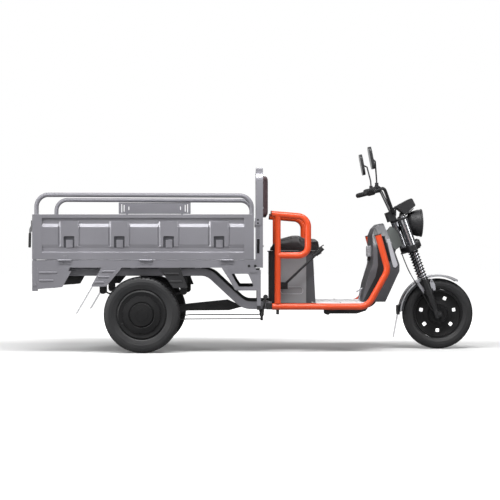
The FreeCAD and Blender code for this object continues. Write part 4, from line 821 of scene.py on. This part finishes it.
for side, sign in (("right", -1), ("left", 1)):
    body = "rear_wheel_" + side
    beads = [ring("bead", 152, sign * (REAR_TRACK_Y + 36), REAR_AXLE, 1.3),
             ring("bead", 72, sign * (REAR_TRACK_Y + 54.6), REAR_AXLE, 1.1),
             ring("bead", 33, sign * (REAR_TRACK_Y + 59.5), REAR_AXLE, 0.9)]
    finished(joined("hub_beads_" + side, beads), body, "hub_black")
    a = math.radians(205)
    valve = [(REAR_AXLE[0] + r * math.cos(a), sign * (REAR_TRACK_Y + y), REAR_AXLE[1] + r * math.sin(a))
             for r, y in ((150, 26), (146, 34), (140, 41), (134, 46))]
    finished(tube_mesh("valve_" + side, valve, 3.4), body, "rubber_black")

finished(joined("front_hub_beads", [ring("bead", 153, -33.5, FRONT_AXLE, 1.2),
                                    ring("bead", 68, -35.5, FRONT_AXLE, 1.4),
                                    ring("bead", 98, -12.5, FRONT_AXLE, 1.1)]), "front_wheel", "hub_black")
rim_bolts = [((FRONT_AXLE[0] + 44 * math.cos(a), -34.2, FRONT_AXLE[1] + 44 * math.sin(a)), (0, -1, 0))
             for a in round_angles(6)]
bolts("front_rim_bolts", rim_bolts, "front_wheel", "hub_black", FINISHES["hub_black"], 5.5, 5)


# Fork, fender and lamp
dressed("fork_legs", 1.0, zones=(
    (CHROME, lambda c, n: along_fork(c) > COVER_S0 - 60),
    (CHROME, lambda c, n: SPRING_S[0] - 0.5 < along_fork(c) < COVER_S0 and
     (Vector(c) - fork_point(along_fork(c), 0, math.copysign(LEG_Y, c.y))).length < 18),
    (PLASTIC_BLACK, lambda c, n: along_fork(c) < 30)))
axle_ends = [((FRONT_AXLE[0], s * (LEG_Y + 12.3), FRONT_AXLE[1]), (0, s, 0)) for s in (-1, 1)]
bolts("front_axle_nuts", axle_ends, "steering", "fork_black", FINISHES["fork_black"], 15, 11)
leg_tops = [(tuple(fork_point(706.2, 0, s * LEG_Y)), tuple(FORK_UP)) for s in (-1, 1)]
bolts("stanchion_caps", leg_tops, "steering", radius=11, height=6)


def coil_spring(y):
    """A wound spring round a stanchion, with its end turns laid flat."""
    s0, s1 = SPRING_S
    flat_rise = COIL_WIRE_R * 1.1
    low = COIL_WIRE_R + flat_rise
    path = []
    steps = COIL_TURNS * 26
    for i in range(steps + 1):
        t = i / steps * COIL_TURNS
        if t < 1:
            rise = COIL_WIRE_R + t * flat_rise
        elif t > COIL_TURNS - 1:
            rise = (s1 - s0) - COIL_WIRE_R - (COIL_TURNS - t) * flat_rise
        else:
            rise = low + (t - 1) / (COIL_TURNS - 2) * ((s1 - s0) - 2 * low)
        a = 2 * math.pi * t
        path.append(tuple(fork_point(s0 + rise, COIL_R * math.cos(a), y + COIL_R * math.sin(a))))
    return tube_mesh("coil", path, COIL_WIRE_R, sides=10)


def disc_round(s0, s1, r0, r1, y):
    """A flat ring round a stanchion."""
    profile = ((r0, s0), (r1, s0), (r1, s1), (r0, s1))
    points = [tuple(fork_point(s, r * math.cos(a), y + r * math.sin(a))) for a in round_angles(40)
              for r, s in profile]
    return mesh_object("seat_ring", points, ring_faces(40, len(profile)))


springs = []
for y in (-LEG_Y, LEG_Y):
    springs += [coil_spring(y), disc_round(SPRING_S[0] - 0.4, SPRING_S[0] + 0.4, 17.4, 25.6, y),
                disc_round(SPRING_S[1] - 0.4, SPRING_S[1] + 0.2, 17.4, 25.6, y)]
finished(joined("fork_coils", springs), "steering", "fork_black", COIL_BLACK, replaces=("fork_springs",))

dressed("front_fender", 0.8, FENDER_STEEL, zones=(
    (FINISHES["fork_black"], lambda c, n: abs(c.y) > 66),
    (FINISHES["trim_silver"], lambda c, n: 62.1 < abs(c.y) < 66 and c.z > 375),
    (FINISHES["fork_black"], lambda c, n: c.x < 987 and c.z < 303)))


def fender_skirts():
    """The fender's side walls down its rear part, in a darker copy of the fender's chrome that paints in their
    dark reflection.
    """
    walls = []
    for sign in (-1, 1):
        y0, y1 = sorted((sign * 58.4, sign * 61.2))
        angles = [math.radians(100 + 76 * i / 40) for i in range(41)]
        depths = [3 + 24 * min(1, i / 14) for i in range(41)]
        outline = []
        for a, d in [(a, 0) for a in angles] + list(zip(angles, depths))[::-1]:
            r = FENDER_R - d
            outline.append((FRONT_AXLE[0] + r * math.cos(a), FRONT_AXLE[1] + r * math.sin(a)))
        walls.append(slab("wall", outline, lambda u, v, w: (u, y0 + w, v), y1 - y0, 0.6))
    finished(joined("fender_skirts", walls), "steering", "fork_steel", CHROME_PAINTED_DARK)


fender_skirts()
stay_bolts = [((x, s * 65.5, z), (0, s, 0)) for s in (-1, 1) for x, z in ((1104, 449), (1201, 462))]
bolts("fender_bolts", stay_bolts, "steering", "fork_steel", radius=4.5, height=4)
bolts("front_flap_bolts", [((968, y, 262), (-1, 0, 0)) for y in (-28, 28)], "steering", radius=5, height=4)
dressed("headlight", 1.0, PLASTIC_BLACK, zones=(
    (HEAD_GLASS, lambda c, n: c.x > LIGHT_X + 10.2 and c.z > 764),))
ribs = []
for i in range(7):
    y = -60 + i * 20
    half = math.sqrt(max(0, 84 ** 2 - y ** 2))
    path = [(LIGHT_X + 16.5 - 4.5 * (k / 4 - 1) ** 2 * 1.2 - (y / 88) ** 2 * 5, y, 860 - half + half * k / 4)
            for k in range(9)]
    ribs.append(tube_mesh("rib", path, 0.9, sides=6))
finished(joined("lens_ribs", ribs), "steering", "plastic_dark", HEAD_GLASS)


# Handlebar, controls, mirrors and dial
dressed("handlebar", 0.8, PLASTIC_BLACK)
dressed("controls", 0.8, PLASTIC_BLACK)
BAR_BEND = Vector((868.0, -150.0, 1093.0))
BAR_END = Vector((724.0, -345.0, 1059.0))
BAR_WAY = (BAR_END - BAR_BEND).normalized()


def grip_rings():
    rings = []
    across = BAR_WAY.orthogonal().normalized()
    other = BAR_WAY.cross(across)
    for i in range(9):
        centre = BAR_END - BAR_WAY * (14 + i * 11)
        path = [tuple(centre + (across * math.cos(a) + other * math.sin(a)) * 16) for a in round_angles(40)]
        rings.append(tube_mesh("grip_ring", path, 1.3, closed=True, sides=6))
    right = joined("grip_ribs_right", rings)
    left = mirrored_copy(right, "grip_ribs_left")
    finished(right, "steering", "rubber_black")
    finished(left, "steering", "rubber_black")


grip_rings()
bolts("bar_clamp_bolts", [((938 + dx, y, 947), (0, 0, 1)) for dx in (-13, 13) for y in (-38, 38)], "steering",
      radius=4.5, height=4.5)
MIRROR_TILT = math.radians(10.8)


def on_mirror_glass(centre, normal):
    """A face that looks back from a mirror head, which tilts a little."""
    facing = abs(normal.z) * math.sin(MIRROR_TILT) - normal.x * math.cos(MIRROR_TILT)
    return facing > 0.97 and abs(centre.y) > 300 and centre.z > 1180


dressed("mirrors", 1.0, PLASTIC_BLACK, zones=((MIRROR_GLASS, on_mirror_glass),))
dressed("instrument_pod", 2.0, PLASTIC_BLACK)


def dial():
    """The dark window on the pod's sloping top."""
    start = Vector((952.0, 0, 971.0))
    along = (Vector((1064.0, 0, 1031.0)) - start).normalized()
    out = Vector((-along.z, 0, along.x))
    outline = rounded_outline([(28, -52), (100, -52), (100, 52), (28, 52)], 14)
    plate = slab("dial_window", outline, lambda u, v, w: tuple(start + along * u + Vector((0, v, 0)) +
                                                               out * (w + 0.2)), 1.4, 0.5)
    finished(plate, "steering", "plastic_dark", DISPLAY)


def pod_bracket():
    """The bracket between the upper yoke, the instrument pod and the headlight."""
    outline = rounded_outline([(985, 894), (1022, 908), (1048, 922), (1062, 938), (1084, 962), (1020, 911),
                               (990, 930)], 3)
    plate = slab("pod_bracket", outline, lambda u, v, w: (u, w - 40, v), 80, 1.0)
    finished(plate, "steering", "plastic_dark", PLASTIC_BLACK)
    bolts("pod_bolts", [((x, s * 40.2, z), (0, s, 0)) for s in (-1, 1) for x, z in ((999, 910), (1052, 934))],
          "steering", radius=5, height=4)


dial()
pod_bracket()


# Bed, gates and headboard
def in_recess(c, n):
    """The underside of a side gate's top border, which takes a painted shade."""
    return n.z < -0.7 and c.z > PAD_POCKET_Z0 + 120 and abs(c.y) > 470


def on_head_tube(centre, normal):
    """A face on the round of the head tube, between the yokes."""
    s = along_fork(centre)
    return COVER_S0 < s < 683 and (Vector(centre) - fork_point(s, -50)).length < 29


def in_pocket(centre, normal):
    """A face inside one of a side gate's pockets, which takes a painted shade."""
    across = min(abs(centre.x - x) for x in PAD_CENTRES_X)
    return across < 34.8 and 689 < centre.z < 766 and 480 < abs(centre.y) < 496


# Painted shade: the cross members under the bed take the black chassis finish
dressed("cross_members", 1.0, FINISHES["chassis_black"])
dressed("front_frame", 1.0, zones=((CHROME, on_head_tube),))
# Painted shade: the rails' faces that do not look outward take the black chassis finish
dressed("frame_rails", 1.0, zones=(
    (FINISHES["chassis_black"], lambda c, n: n.y * math.copysign(1, c.y) < 0.5),))
# Painted shade: the skirts' inward faces take the black chassis finish
dressed("bed_skirts", 0.8, zones=(
    (FINISHES["chassis_black"], lambda c, n: n.y * math.copysign(1, c.y) < -0.5),))
for side in ("right", "left"):
    # painted shade in the pockets and under the top border
    dressed("side_gate_" + side, 1.4, angle=11, zones=((POCKET_SHADE, in_pocket), (RECESS_SHADE, in_recess)))
    dressed("rail_hoop_" + side, 0.5, HOOP_GREY)
dressed("tailgate", 1.4, angle=11)
dressed("tail_lamps", 0.8, cuts=[(1, y) for y in sorted(s * y for s in (-1, 1) for y in LAMP_SPLITS_Y)], zones=(
    (LAMP_AMBER, lambda c, n: abs(c.y) > LAMP_SPLITS_Y[1]),
    (LENS_GLASS, lambda c, n: abs(c.y) < LAMP_SPLITS_Y[0])))
dressed("tailgate_latches", 0.8, zones=((ZINC, lambda c, n: c.z > 787),))


def pocket_bosses(side, sign):
    """The raised tab in each pocket of a side gate."""
    tabs = []
    for x in PAD_CENTRES_X:
        z0 = PAD_POCKET_Z0 + 0.4
        y0, y1 = sorted((sign * (BED_HALF_W - 11.7), sign * (BED_HALF_W - 3.5)))
        corners = [(x - 19, z0), (x + 24, z0), (x + 24, z0 + 50), (x - 19, z0 + 50)]
        tabs.append(side_slab("tab", corners, 4, y0, y1, 1.6))
    finished(joined("pocket_bosses_" + side, tabs), "gate_" + side, "body_grey")


def hoop_beads(side, sign):
    """Weld beads where the hoop rail meets its gate."""
    rings = []
    for x in (BED_X[0] + 27, BED_X[1] - 15):
        path = [(x + 15 * math.cos(a), sign * (BED_HALF_W - 15) + 14.6 * math.sin(a),
                 GATE_TOP_Z + 1.2 + 0.4 * math.sin(9 * a)) for a in round_angles(48)]
        rings.append(tube_mesh("bead", path, 1.8, closed=True, sides=8))
    finished(joined("hoop_beads_" + side, rings), "gate_" + side, "body_grey")


for side, sign in (("right", -1), ("left", 1)):
    pocket_bosses(side, sign)
    hoop_beads(side, sign)
    hinge_pins = [((x + e * 41, sign * (BED_HALF_W + 8), DECK_Z), (e, 0, 0))
                  for x in GATE_HINGES_X for e in (-1, 1)]
    bolts("hinge_pins_" + side, hinge_pins, "chassis", "body_grey", radius=4.2, height=3)
    spots = [((x, sign * (BED_HALF_W + 0.2), 571), (0, sign, 0)) for x in (-44, -3.7)]
    bolts("sill_bolts_" + side, spots, "chassis", "chassis_black", FINISHES["chassis_black"], 6.5, 4)
    spots = [((14, sign * (BED_HALF_W + 6.2), z), (0, sign, 0)) for z in (850, 871)]
    bolts("stop_bolts_" + side, spots, "chassis", "chassis_black", FINISHES["chassis_black"], 4.5, 3.4)
    y0, y1 = sorted((sign * (BED_HALF_W - 2.8), sign * (BED_HALF_W + 0.8)))
    panel = side_slab("side_reflector_" + side, [(7, 653), (24, 653), (24, 746), (7, 746)], 4, y0, y1, 1.2)
    finished(panel, "chassis", "rubber_black", GLOSS_BLACK)
    dots = [((8.5 + 5 * c, sign * (BED_HALF_W + 0.1), 757 + 6 * r), (0, sign, 0), (1, 0, 0))
            for c in range(4) for r in range(13)]
    field("post_dots_" + side, GRAIN_FIELD, dots, "chassis", "body_grey", PLASTIC_BLACK, length=3.0,
          width=3.0, height=1.2)


def deck_ribs():
    """Long ribs pressed in the load deck."""
    ribs = []
    x0 = BED_X[0] + 70
    x1 = BED_X[1] - 63
    for y in range(-390, 391, 130):
        outline = rounded_outline([(x0, y - 9), (x1, y - 9), (x1, y + 9), (x0, y + 9)], 8)
        ribs.append(slab("rib", outline, lambda u, v, w: (u, v, DECK_Z + 0.1 + w), 2.4, 1.0))
    finished(joined("deck_ribs", ribs), "chassis", "body_grey")


deck_ribs()


def spring_nuts():
    spots = []
    for side in (-1, 1):
        for dx in (-34, 34):
            for dy in (-30, 30):
                spots.append(((REAR_AXLE[0] + dx, side * 300 + dy, 325.6), (0, 0, 1)))
    bolts("spring_nuts", spots, "chassis", "chassis_black", ZINC, 8.5, 7)


spring_nuts()
flap_spots = [((-1063, s * y, 441), (0, 0, 1)) for s in (-1, 1) for y in (400, 470)]
bolts("flap_bolts", flap_spots, "chassis", "chassis_black", ZINC, 5, 3)
board_spots = [((47.2, y, z), (1, 0, 0)) for y in (-470, 470) for z in (700, 950)]
bolts("board_bolts", board_spots, "chassis", "body_grey", ZINC, 6, 4.5)


# Floor, guards, seat box and shield
dressed("tube_caps", 1.2, PLASTIC_BLACK)
dressed("seat_pan", 1.2, PLASTIC_BLACK)
dressed("hand_brake", 0.8, zones=((FINISHES["rubber_black"], lambda c, n: c.x + c.z > 1040),))
# Seat box: painted shade on the rounded front corners, and black along the rear strip
dressed("seat_box", 1.4, cuts=[(0, x) for x in BOX_SPLITS_X], zones=(
    (BOX_CORNER_SHADE, lambda c, n: c.x > BOX_SPLITS_X[1] and abs(c.y) > 200),
    (PLASTIC_BLACK, lambda c, n: c.x < BOX_SPLITS_X[0])))
dressed("leg_shield", 2.0, SHIELD_SKIN, zones=(
    (COVER_GREY, lambda c, n: c.x > 890 and 26 < abs(c.y) < 45 and c.z > 660),
    (GLOSS_BLACK, lambda c, n: abs(c.y) > 250.2)))


def chequer_marks():
    """Raised marks on the footboard, laid two ways in turn."""
    spots = []
    for i in range(13):
        for j in range(24):
            x = 380 + i * 27
            y = -322 + j * 28
            if abs(y) > 368 or (x > 640 and abs(y) > 366 - (x - 640) * 0.2):
                continue
            way = (1, 1, 0) if (i + j) % 2 else (1, -1, 0)
            if x < 712 or abs(y) > 262:
                spots.append(((x, y, FLOOR_TOP_Z), (0, 0, 1), way))
    field("chequer_marks", GRAIN_FIELD, spots, "chassis", "floor_plate", FINISHES["floor_plate"], length=22,
          width=5, height=3.6)


chequer_marks()
bolts("footboard_bolts", [((x, s * 360, FLOOR_TOP_Z), (0, 0, 1)) for s in (-1, 1) for x in (385, 560, 735)],
      "chassis", "chassis_black", ZINC, 6, 4)


def box_recess_lines():
    """The bright edge round the seat box's recess."""
    rings = []
    for sign in (-1, 1):
        outline = rounded_outline([(168, 382), (316, 382), (316, 428), (168, 428)], 22, 8)
        path = [(u, sign * (SEAT_BOX_HALF_W + 0.2), v) for u, v in outline]
        rings.append(tube_mesh("line", path, 1.4, closed=True, sides=8))
    finished(joined("recess_lines", rings), "chassis", "trim_silver")


box_recess_lines()


def shield_port():
    """The pale cover on the shield's rear face, with a dark knob under it."""
    outline = rounded_outline([(-42, 630), (42, 630), (42, 704), (-42, 704)], 8)
    cover = slab("port_cover", outline, lambda u, v, w: (760 + w, u, v), 30, 3)
    finished(cover, "chassis", "trim_silver", PORT_PALE)
    path = [(775, 0, 628), (774, 0, 614), (772, 0, 602)]
    finished(tube_mesh("port_knob", path, 9, sides=20), "chassis", "plastic_dark", PLASTIC_BLACK)


shield_port()


def brake_release():
    """The thin release lever above the hand brake's grip."""
    path = [(372, -290, 638), (396, -290, 668), (424, -290, 690), (452, -290, 708)]
    finished(tube_mesh("brake_release", softened(path, 2), 3.6, sides=12), "chassis", "chassis_black")


brake_release()


# Cushions
def cushion(node, voxel, cap, held, keep, shrink):
    """A cushion blown up by a cloth run from a slightly smaller copy of its CAD form.

    held(point) picks the points that rest on the base; keep(point) puts a moved point back where needed."""
    mesh = frame["nodes"][node].data.copy()
    mesh.materials.clear()
    low = Vector([min(v.co[i] for v in mesh.vertices) for i in range(3)])
    high = Vector([max(v.co[i] for v in mesh.vertices) for i in range(3)])
    centre = (low + high) / 2
    for v in mesh.vertices:
        for i in range(3):
            half = (high[i] - low[i]) / 2
            v.co[i] = centre[i] + (v.co[i] - centre[i]) * (half - shrink[i] * MM) / half
        v.co += Vector(shrink[3:]) * MM
    bm = bmesh.new()
    bm.from_mesh(mesh)
    bmesh.ops.remove_doubles(bm, verts=bm.verts, dist=0.00002)
    bm.to_mesh(mesh)
    bm.free()
    obj = to_scene(bpy.data.objects.new(node + "_cushion", mesh))
    remesh = obj.modifiers.new("even", "REMESH")
    remesh.mode = "VOXEL"
    remesh.voxel_size = voxel * MM * 1
    applied(obj)
    puff(obj, cap, held, keep)
    soft = obj.modifiers.new("soft", "SUBSURF")
    soft.levels = 1
    applied(obj)
    obj.data.shade_smooth()
    finished(obj, BODY_OF[node], SLOT_OF[node], FINISHES[SLOT_OF[node]], replaces=(node,))
    return obj


def puff(obj, cap, held, keep):
    """Blows the mesh up with a cloth run; no point moves further than cap, in millimetres."""
    rest = [v.co.copy() for v in obj.data.vertices]
    group = obj.vertex_groups.new(name="held")
    group.add([i for i, p in enumerate(rest) if held(p / MM)], 1.0, "REPLACE")
    cloth = obj.modifiers.new("puff", "CLOTH")
    cloth.settings.vertex_group_mass = "held"
    cloth.settings.use_pressure = True
    cloth.settings.uniform_pressure_force = 4.0
    cloth.settings.effector_weights.gravity = 0.0
    cloth.settings.tension_stiffness = 12
    cloth.settings.compression_stiffness = 12
    cloth.settings.bending_stiffness = 0.8
    cloth.point_cache.frame_start = 1
    cloth.point_cache.frame_end = 20
    for i in range(1, 21):
        bpy.context.scene.frame_set(i)
    moved = evaluated_mesh(obj)
    obj.modifiers.clear()
    for i, v in enumerate(obj.data.vertices):
        step = moved.vertices[i].co - rest[i]
        if step.length > cap * MM:
            step *= cap * MM / step.length
        v.co = keep((rest[i] + step) / MM) * MM
    bpy.context.scene.frame_set(1)


def above(z):
    return lambda p: Vector((p.x, p.y, max(p.z, z)))


def ahead_of(x):
    return lambda p: Vector((max(p.x, x), p.y, p.z))


SEAT_Z0 = 671.0
seat = cushion("seat", 6, 14, lambda p: p.z < SEAT_Z0 + 5, above(SEAT_Z0), (7, 9, 4, 0, 0, -3.4))
BACK_X0 = 47.6
backrest = cushion("backrest", 5, 6, lambda p: p.x < BACK_X0 + 3, ahead_of(BACK_X0),
                   (3, 3, 3, -2.4, 0, 0))


def tree_of(obj):
    bm = bmesh.new()
    bm.from_mesh(obj.data)
    tree = BVHTree.FromBMesh(bm)
    bm.free()
    return tree


def found(tree, start, aim):
    """Where a ray from start meets the cushion, and the outward normal there, in millimetres."""
    place, normal, _, _ = tree.ray_cast(Vector(start) * MM, Vector(aim).normalized())
    return (place / MM, normal) if place is not None else None


def seam(name, hits, body, slot, piping=None, closed=False, thread=5.0):
    """Piping or a thread line that follows the cushion through the hits."""
    hits = [h for h in hits if h]
    if piping:
        path = [tuple(p + n * (piping * 0.25)) for p, n in hits]
        finished(tube_mesh(name, path, piping, closed=closed, sides=8), body, slot)
        return
    spots = []
    count = len(hits)
    for i in range(count if closed else count - 1):
        p, n = hits[i]
        q = hits[(i + 1) % count][0]
        run = q - p
        if run.length > 0.5:
            spots.append((tuple((p + q) / 2 + n * 0.15), tuple(n), tuple(run)))
    field(name, GRAIN_FIELD, spots, body, slot, THREAD, length=thread, width=1.3, height=1.1)


def hits_round(tree, centre, plane, reach, count):
    """Hits all round a cushion, towards the centre, in a plane given by two axes."""
    hits = []
    for a in round_angles(count):
        out = Vector(plane[0]) * math.cos(a) + Vector(plane[1]) * math.sin(a)
        hits.append(found(tree, Vector(centre) + out * reach, -out))
    return hits


LEVEL = ((1, 0, 0), (0, 1, 0))
UPRIGHT = ((0, 1, 0), (0, 0, 1))
seat_tree = tree_of(seat)
seam("seat_piping", hits_round(seat_tree, (265, 0, 694), LEVEL, 600, 150), "seat_lid", "seat_cover",
     piping=2.6, closed=True)
seam("seat_threads", hits_round(seat_tree, (265, 0, 685), LEVEL, 600, 220), "seat_lid", "seat_cover",
     closed=True)
cross = [found(seat_tree, (318, y, 900), (0, 0, -1)) for y in range(-252, 253, 9)]
seam("seat_cross_seam", cross, "seat_lid", "seat_cover", piping=2.0)
for x in (310, 326):
    row = [found(seat_tree, (x, y, 900), (0, 0, -1)) for y in range(-248, 249, 8)]
    seam("seat_cross_threads_%d" % x, row, "seat_lid", "seat_cover")
for y in (-150, 150):
    row = [found(seat_tree, (x, y, 900), (0, 0, -1)) for x in range(104, 312, 8)]
    seam("seat_long_threads_%s" % ("right" if y < 0 else "left"), row, "seat_lid", "seat_cover")
back_tree = tree_of(backrest)
seam("backrest_piping", hits_round(back_tree, (66, 0, 1035.5), UPRIGHT, 400, 160), "chassis",
     "backrest_cover", piping=2.4, closed=True)
for y in (-150, 150):
    row = [found(back_tree, (200, y, z), (-1, 0, 0)) for z in range(912, 1161, 8)]
    seam("backrest_threads_%s" % ("right" if y < 0 else "left"), row, "chassis", "backrest_cover")


# Stage and light
def stage_floor():
    mesh = bpy.data.meshes.new("floor")
    mesh.from_pydata([(-30, -30, 0), (30, -30, 0), (30, 30, 0), (-30, 30, 0)], [], [(0, 1, 2, 3)])
    floor = to_scene(bpy.data.objects.new("floor", mesh))
    mat = bpy.data.materials.new("pale_floor")
    mat.use_nodes = True
    net = Net(mat.node_tree)
    shader = mat.node_tree.nodes["Principled BSDF"]
    seen = net.add("ShaderNodeLightPath").outputs["Is Camera Ray"]
    place = net.add("ShaderNodeTexCoord").outputs["Object"]
    away = net.maths("ABSOLUTE", net.add("ShaderNodeSeparateXYZ", Vector=place).outputs["Y"])
    glow = net.ramp(away, 0.5, 2.2, 0.06, 1.0)
    net.feed(shader, "Base Color", net.mixed(seen, (0.3, 0.3, 0.3, 1), (0.74, 0.74, 0.74, 1)))
    shader.inputs["Roughness"].default_value = 0.95
    shader.inputs["Specular IOR Level"].default_value = 0.1
    shader.inputs["Emission Color"].default_value = (1, 1, 1, 1)
    net.feed(shader, "Emission Strength", net.maths("MULTIPLY", seen, glow))
    mesh.materials.append(mat)


def area_light(name, place, aim, size, power):
    data = bpy.data.lights.new(name, "AREA")
    data.shape = "RECTANGLE"
    data.size, data.size_y = size
    data.energy = power
    lamp = bpy.data.objects.new(name, data)
    lamp.location = place
    lamp.visible_camera = False
    lamp.rotation_euler = (Vector(aim) - Vector(place)).to_track_quat("-Z", "Y").to_euler()
    bpy.context.scene.collection.objects.link(lamp)


def studio():
    world = bpy.data.worlds.new("studio")
    bpy.context.scene.world = world
    world.use_nodes = True
    net = Net(world.node_tree)
    back = world.node_tree.nodes["Background"]
    seen = net.add("ShaderNodeLightPath").outputs["Is Camera Ray"]
    way = net.add("ShaderNodeSeparateXYZ", Vector=net.add("ShaderNodeTexCoord").outputs["Generated"])
    turn = net.maths("ARCTAN2", way.outputs["Y"], way.outputs["X"])
    strips = net.ramp(net.maths("SINE", net.maths("MULTIPLY", turn, 9.0)), 0.2, 0.6, 0.03, 0.34)
    net.feed(back, "Color", (1, 1, 1, 1))
    net.feed(back, "Strength", net.maths("MAXIMUM", seen, strips))
    area_light("key", (-4.5, -3.6, 4.6), (-0.2, 0, 0.6), (3, 2), 160)
    area_light("top", (0.2, -2.6, 4.6), (0, -0.5, 0.7), (5.0, 1.1), 325)
    area_light("front", (0.5, -7.5, 2.2), (0, 0, 0.7), (5, 1.5), 35)
    area_light("rear", (-5.2, -2.9, 1.2), (-0.6, -0.5, 0.7), (1.2, 2.2), 110)
    area_light("side", (5.5, -4.0, 2.4), (0.6, 0, 0.6), (1.0, 3), 60)
    area_light("far", (0.0, 4.5, 4.0), (0, 0, 0.8), (6, 2), 120)


stage_floor()
studio()
bpy.context.scene.view_settings.view_transform = "Standard"
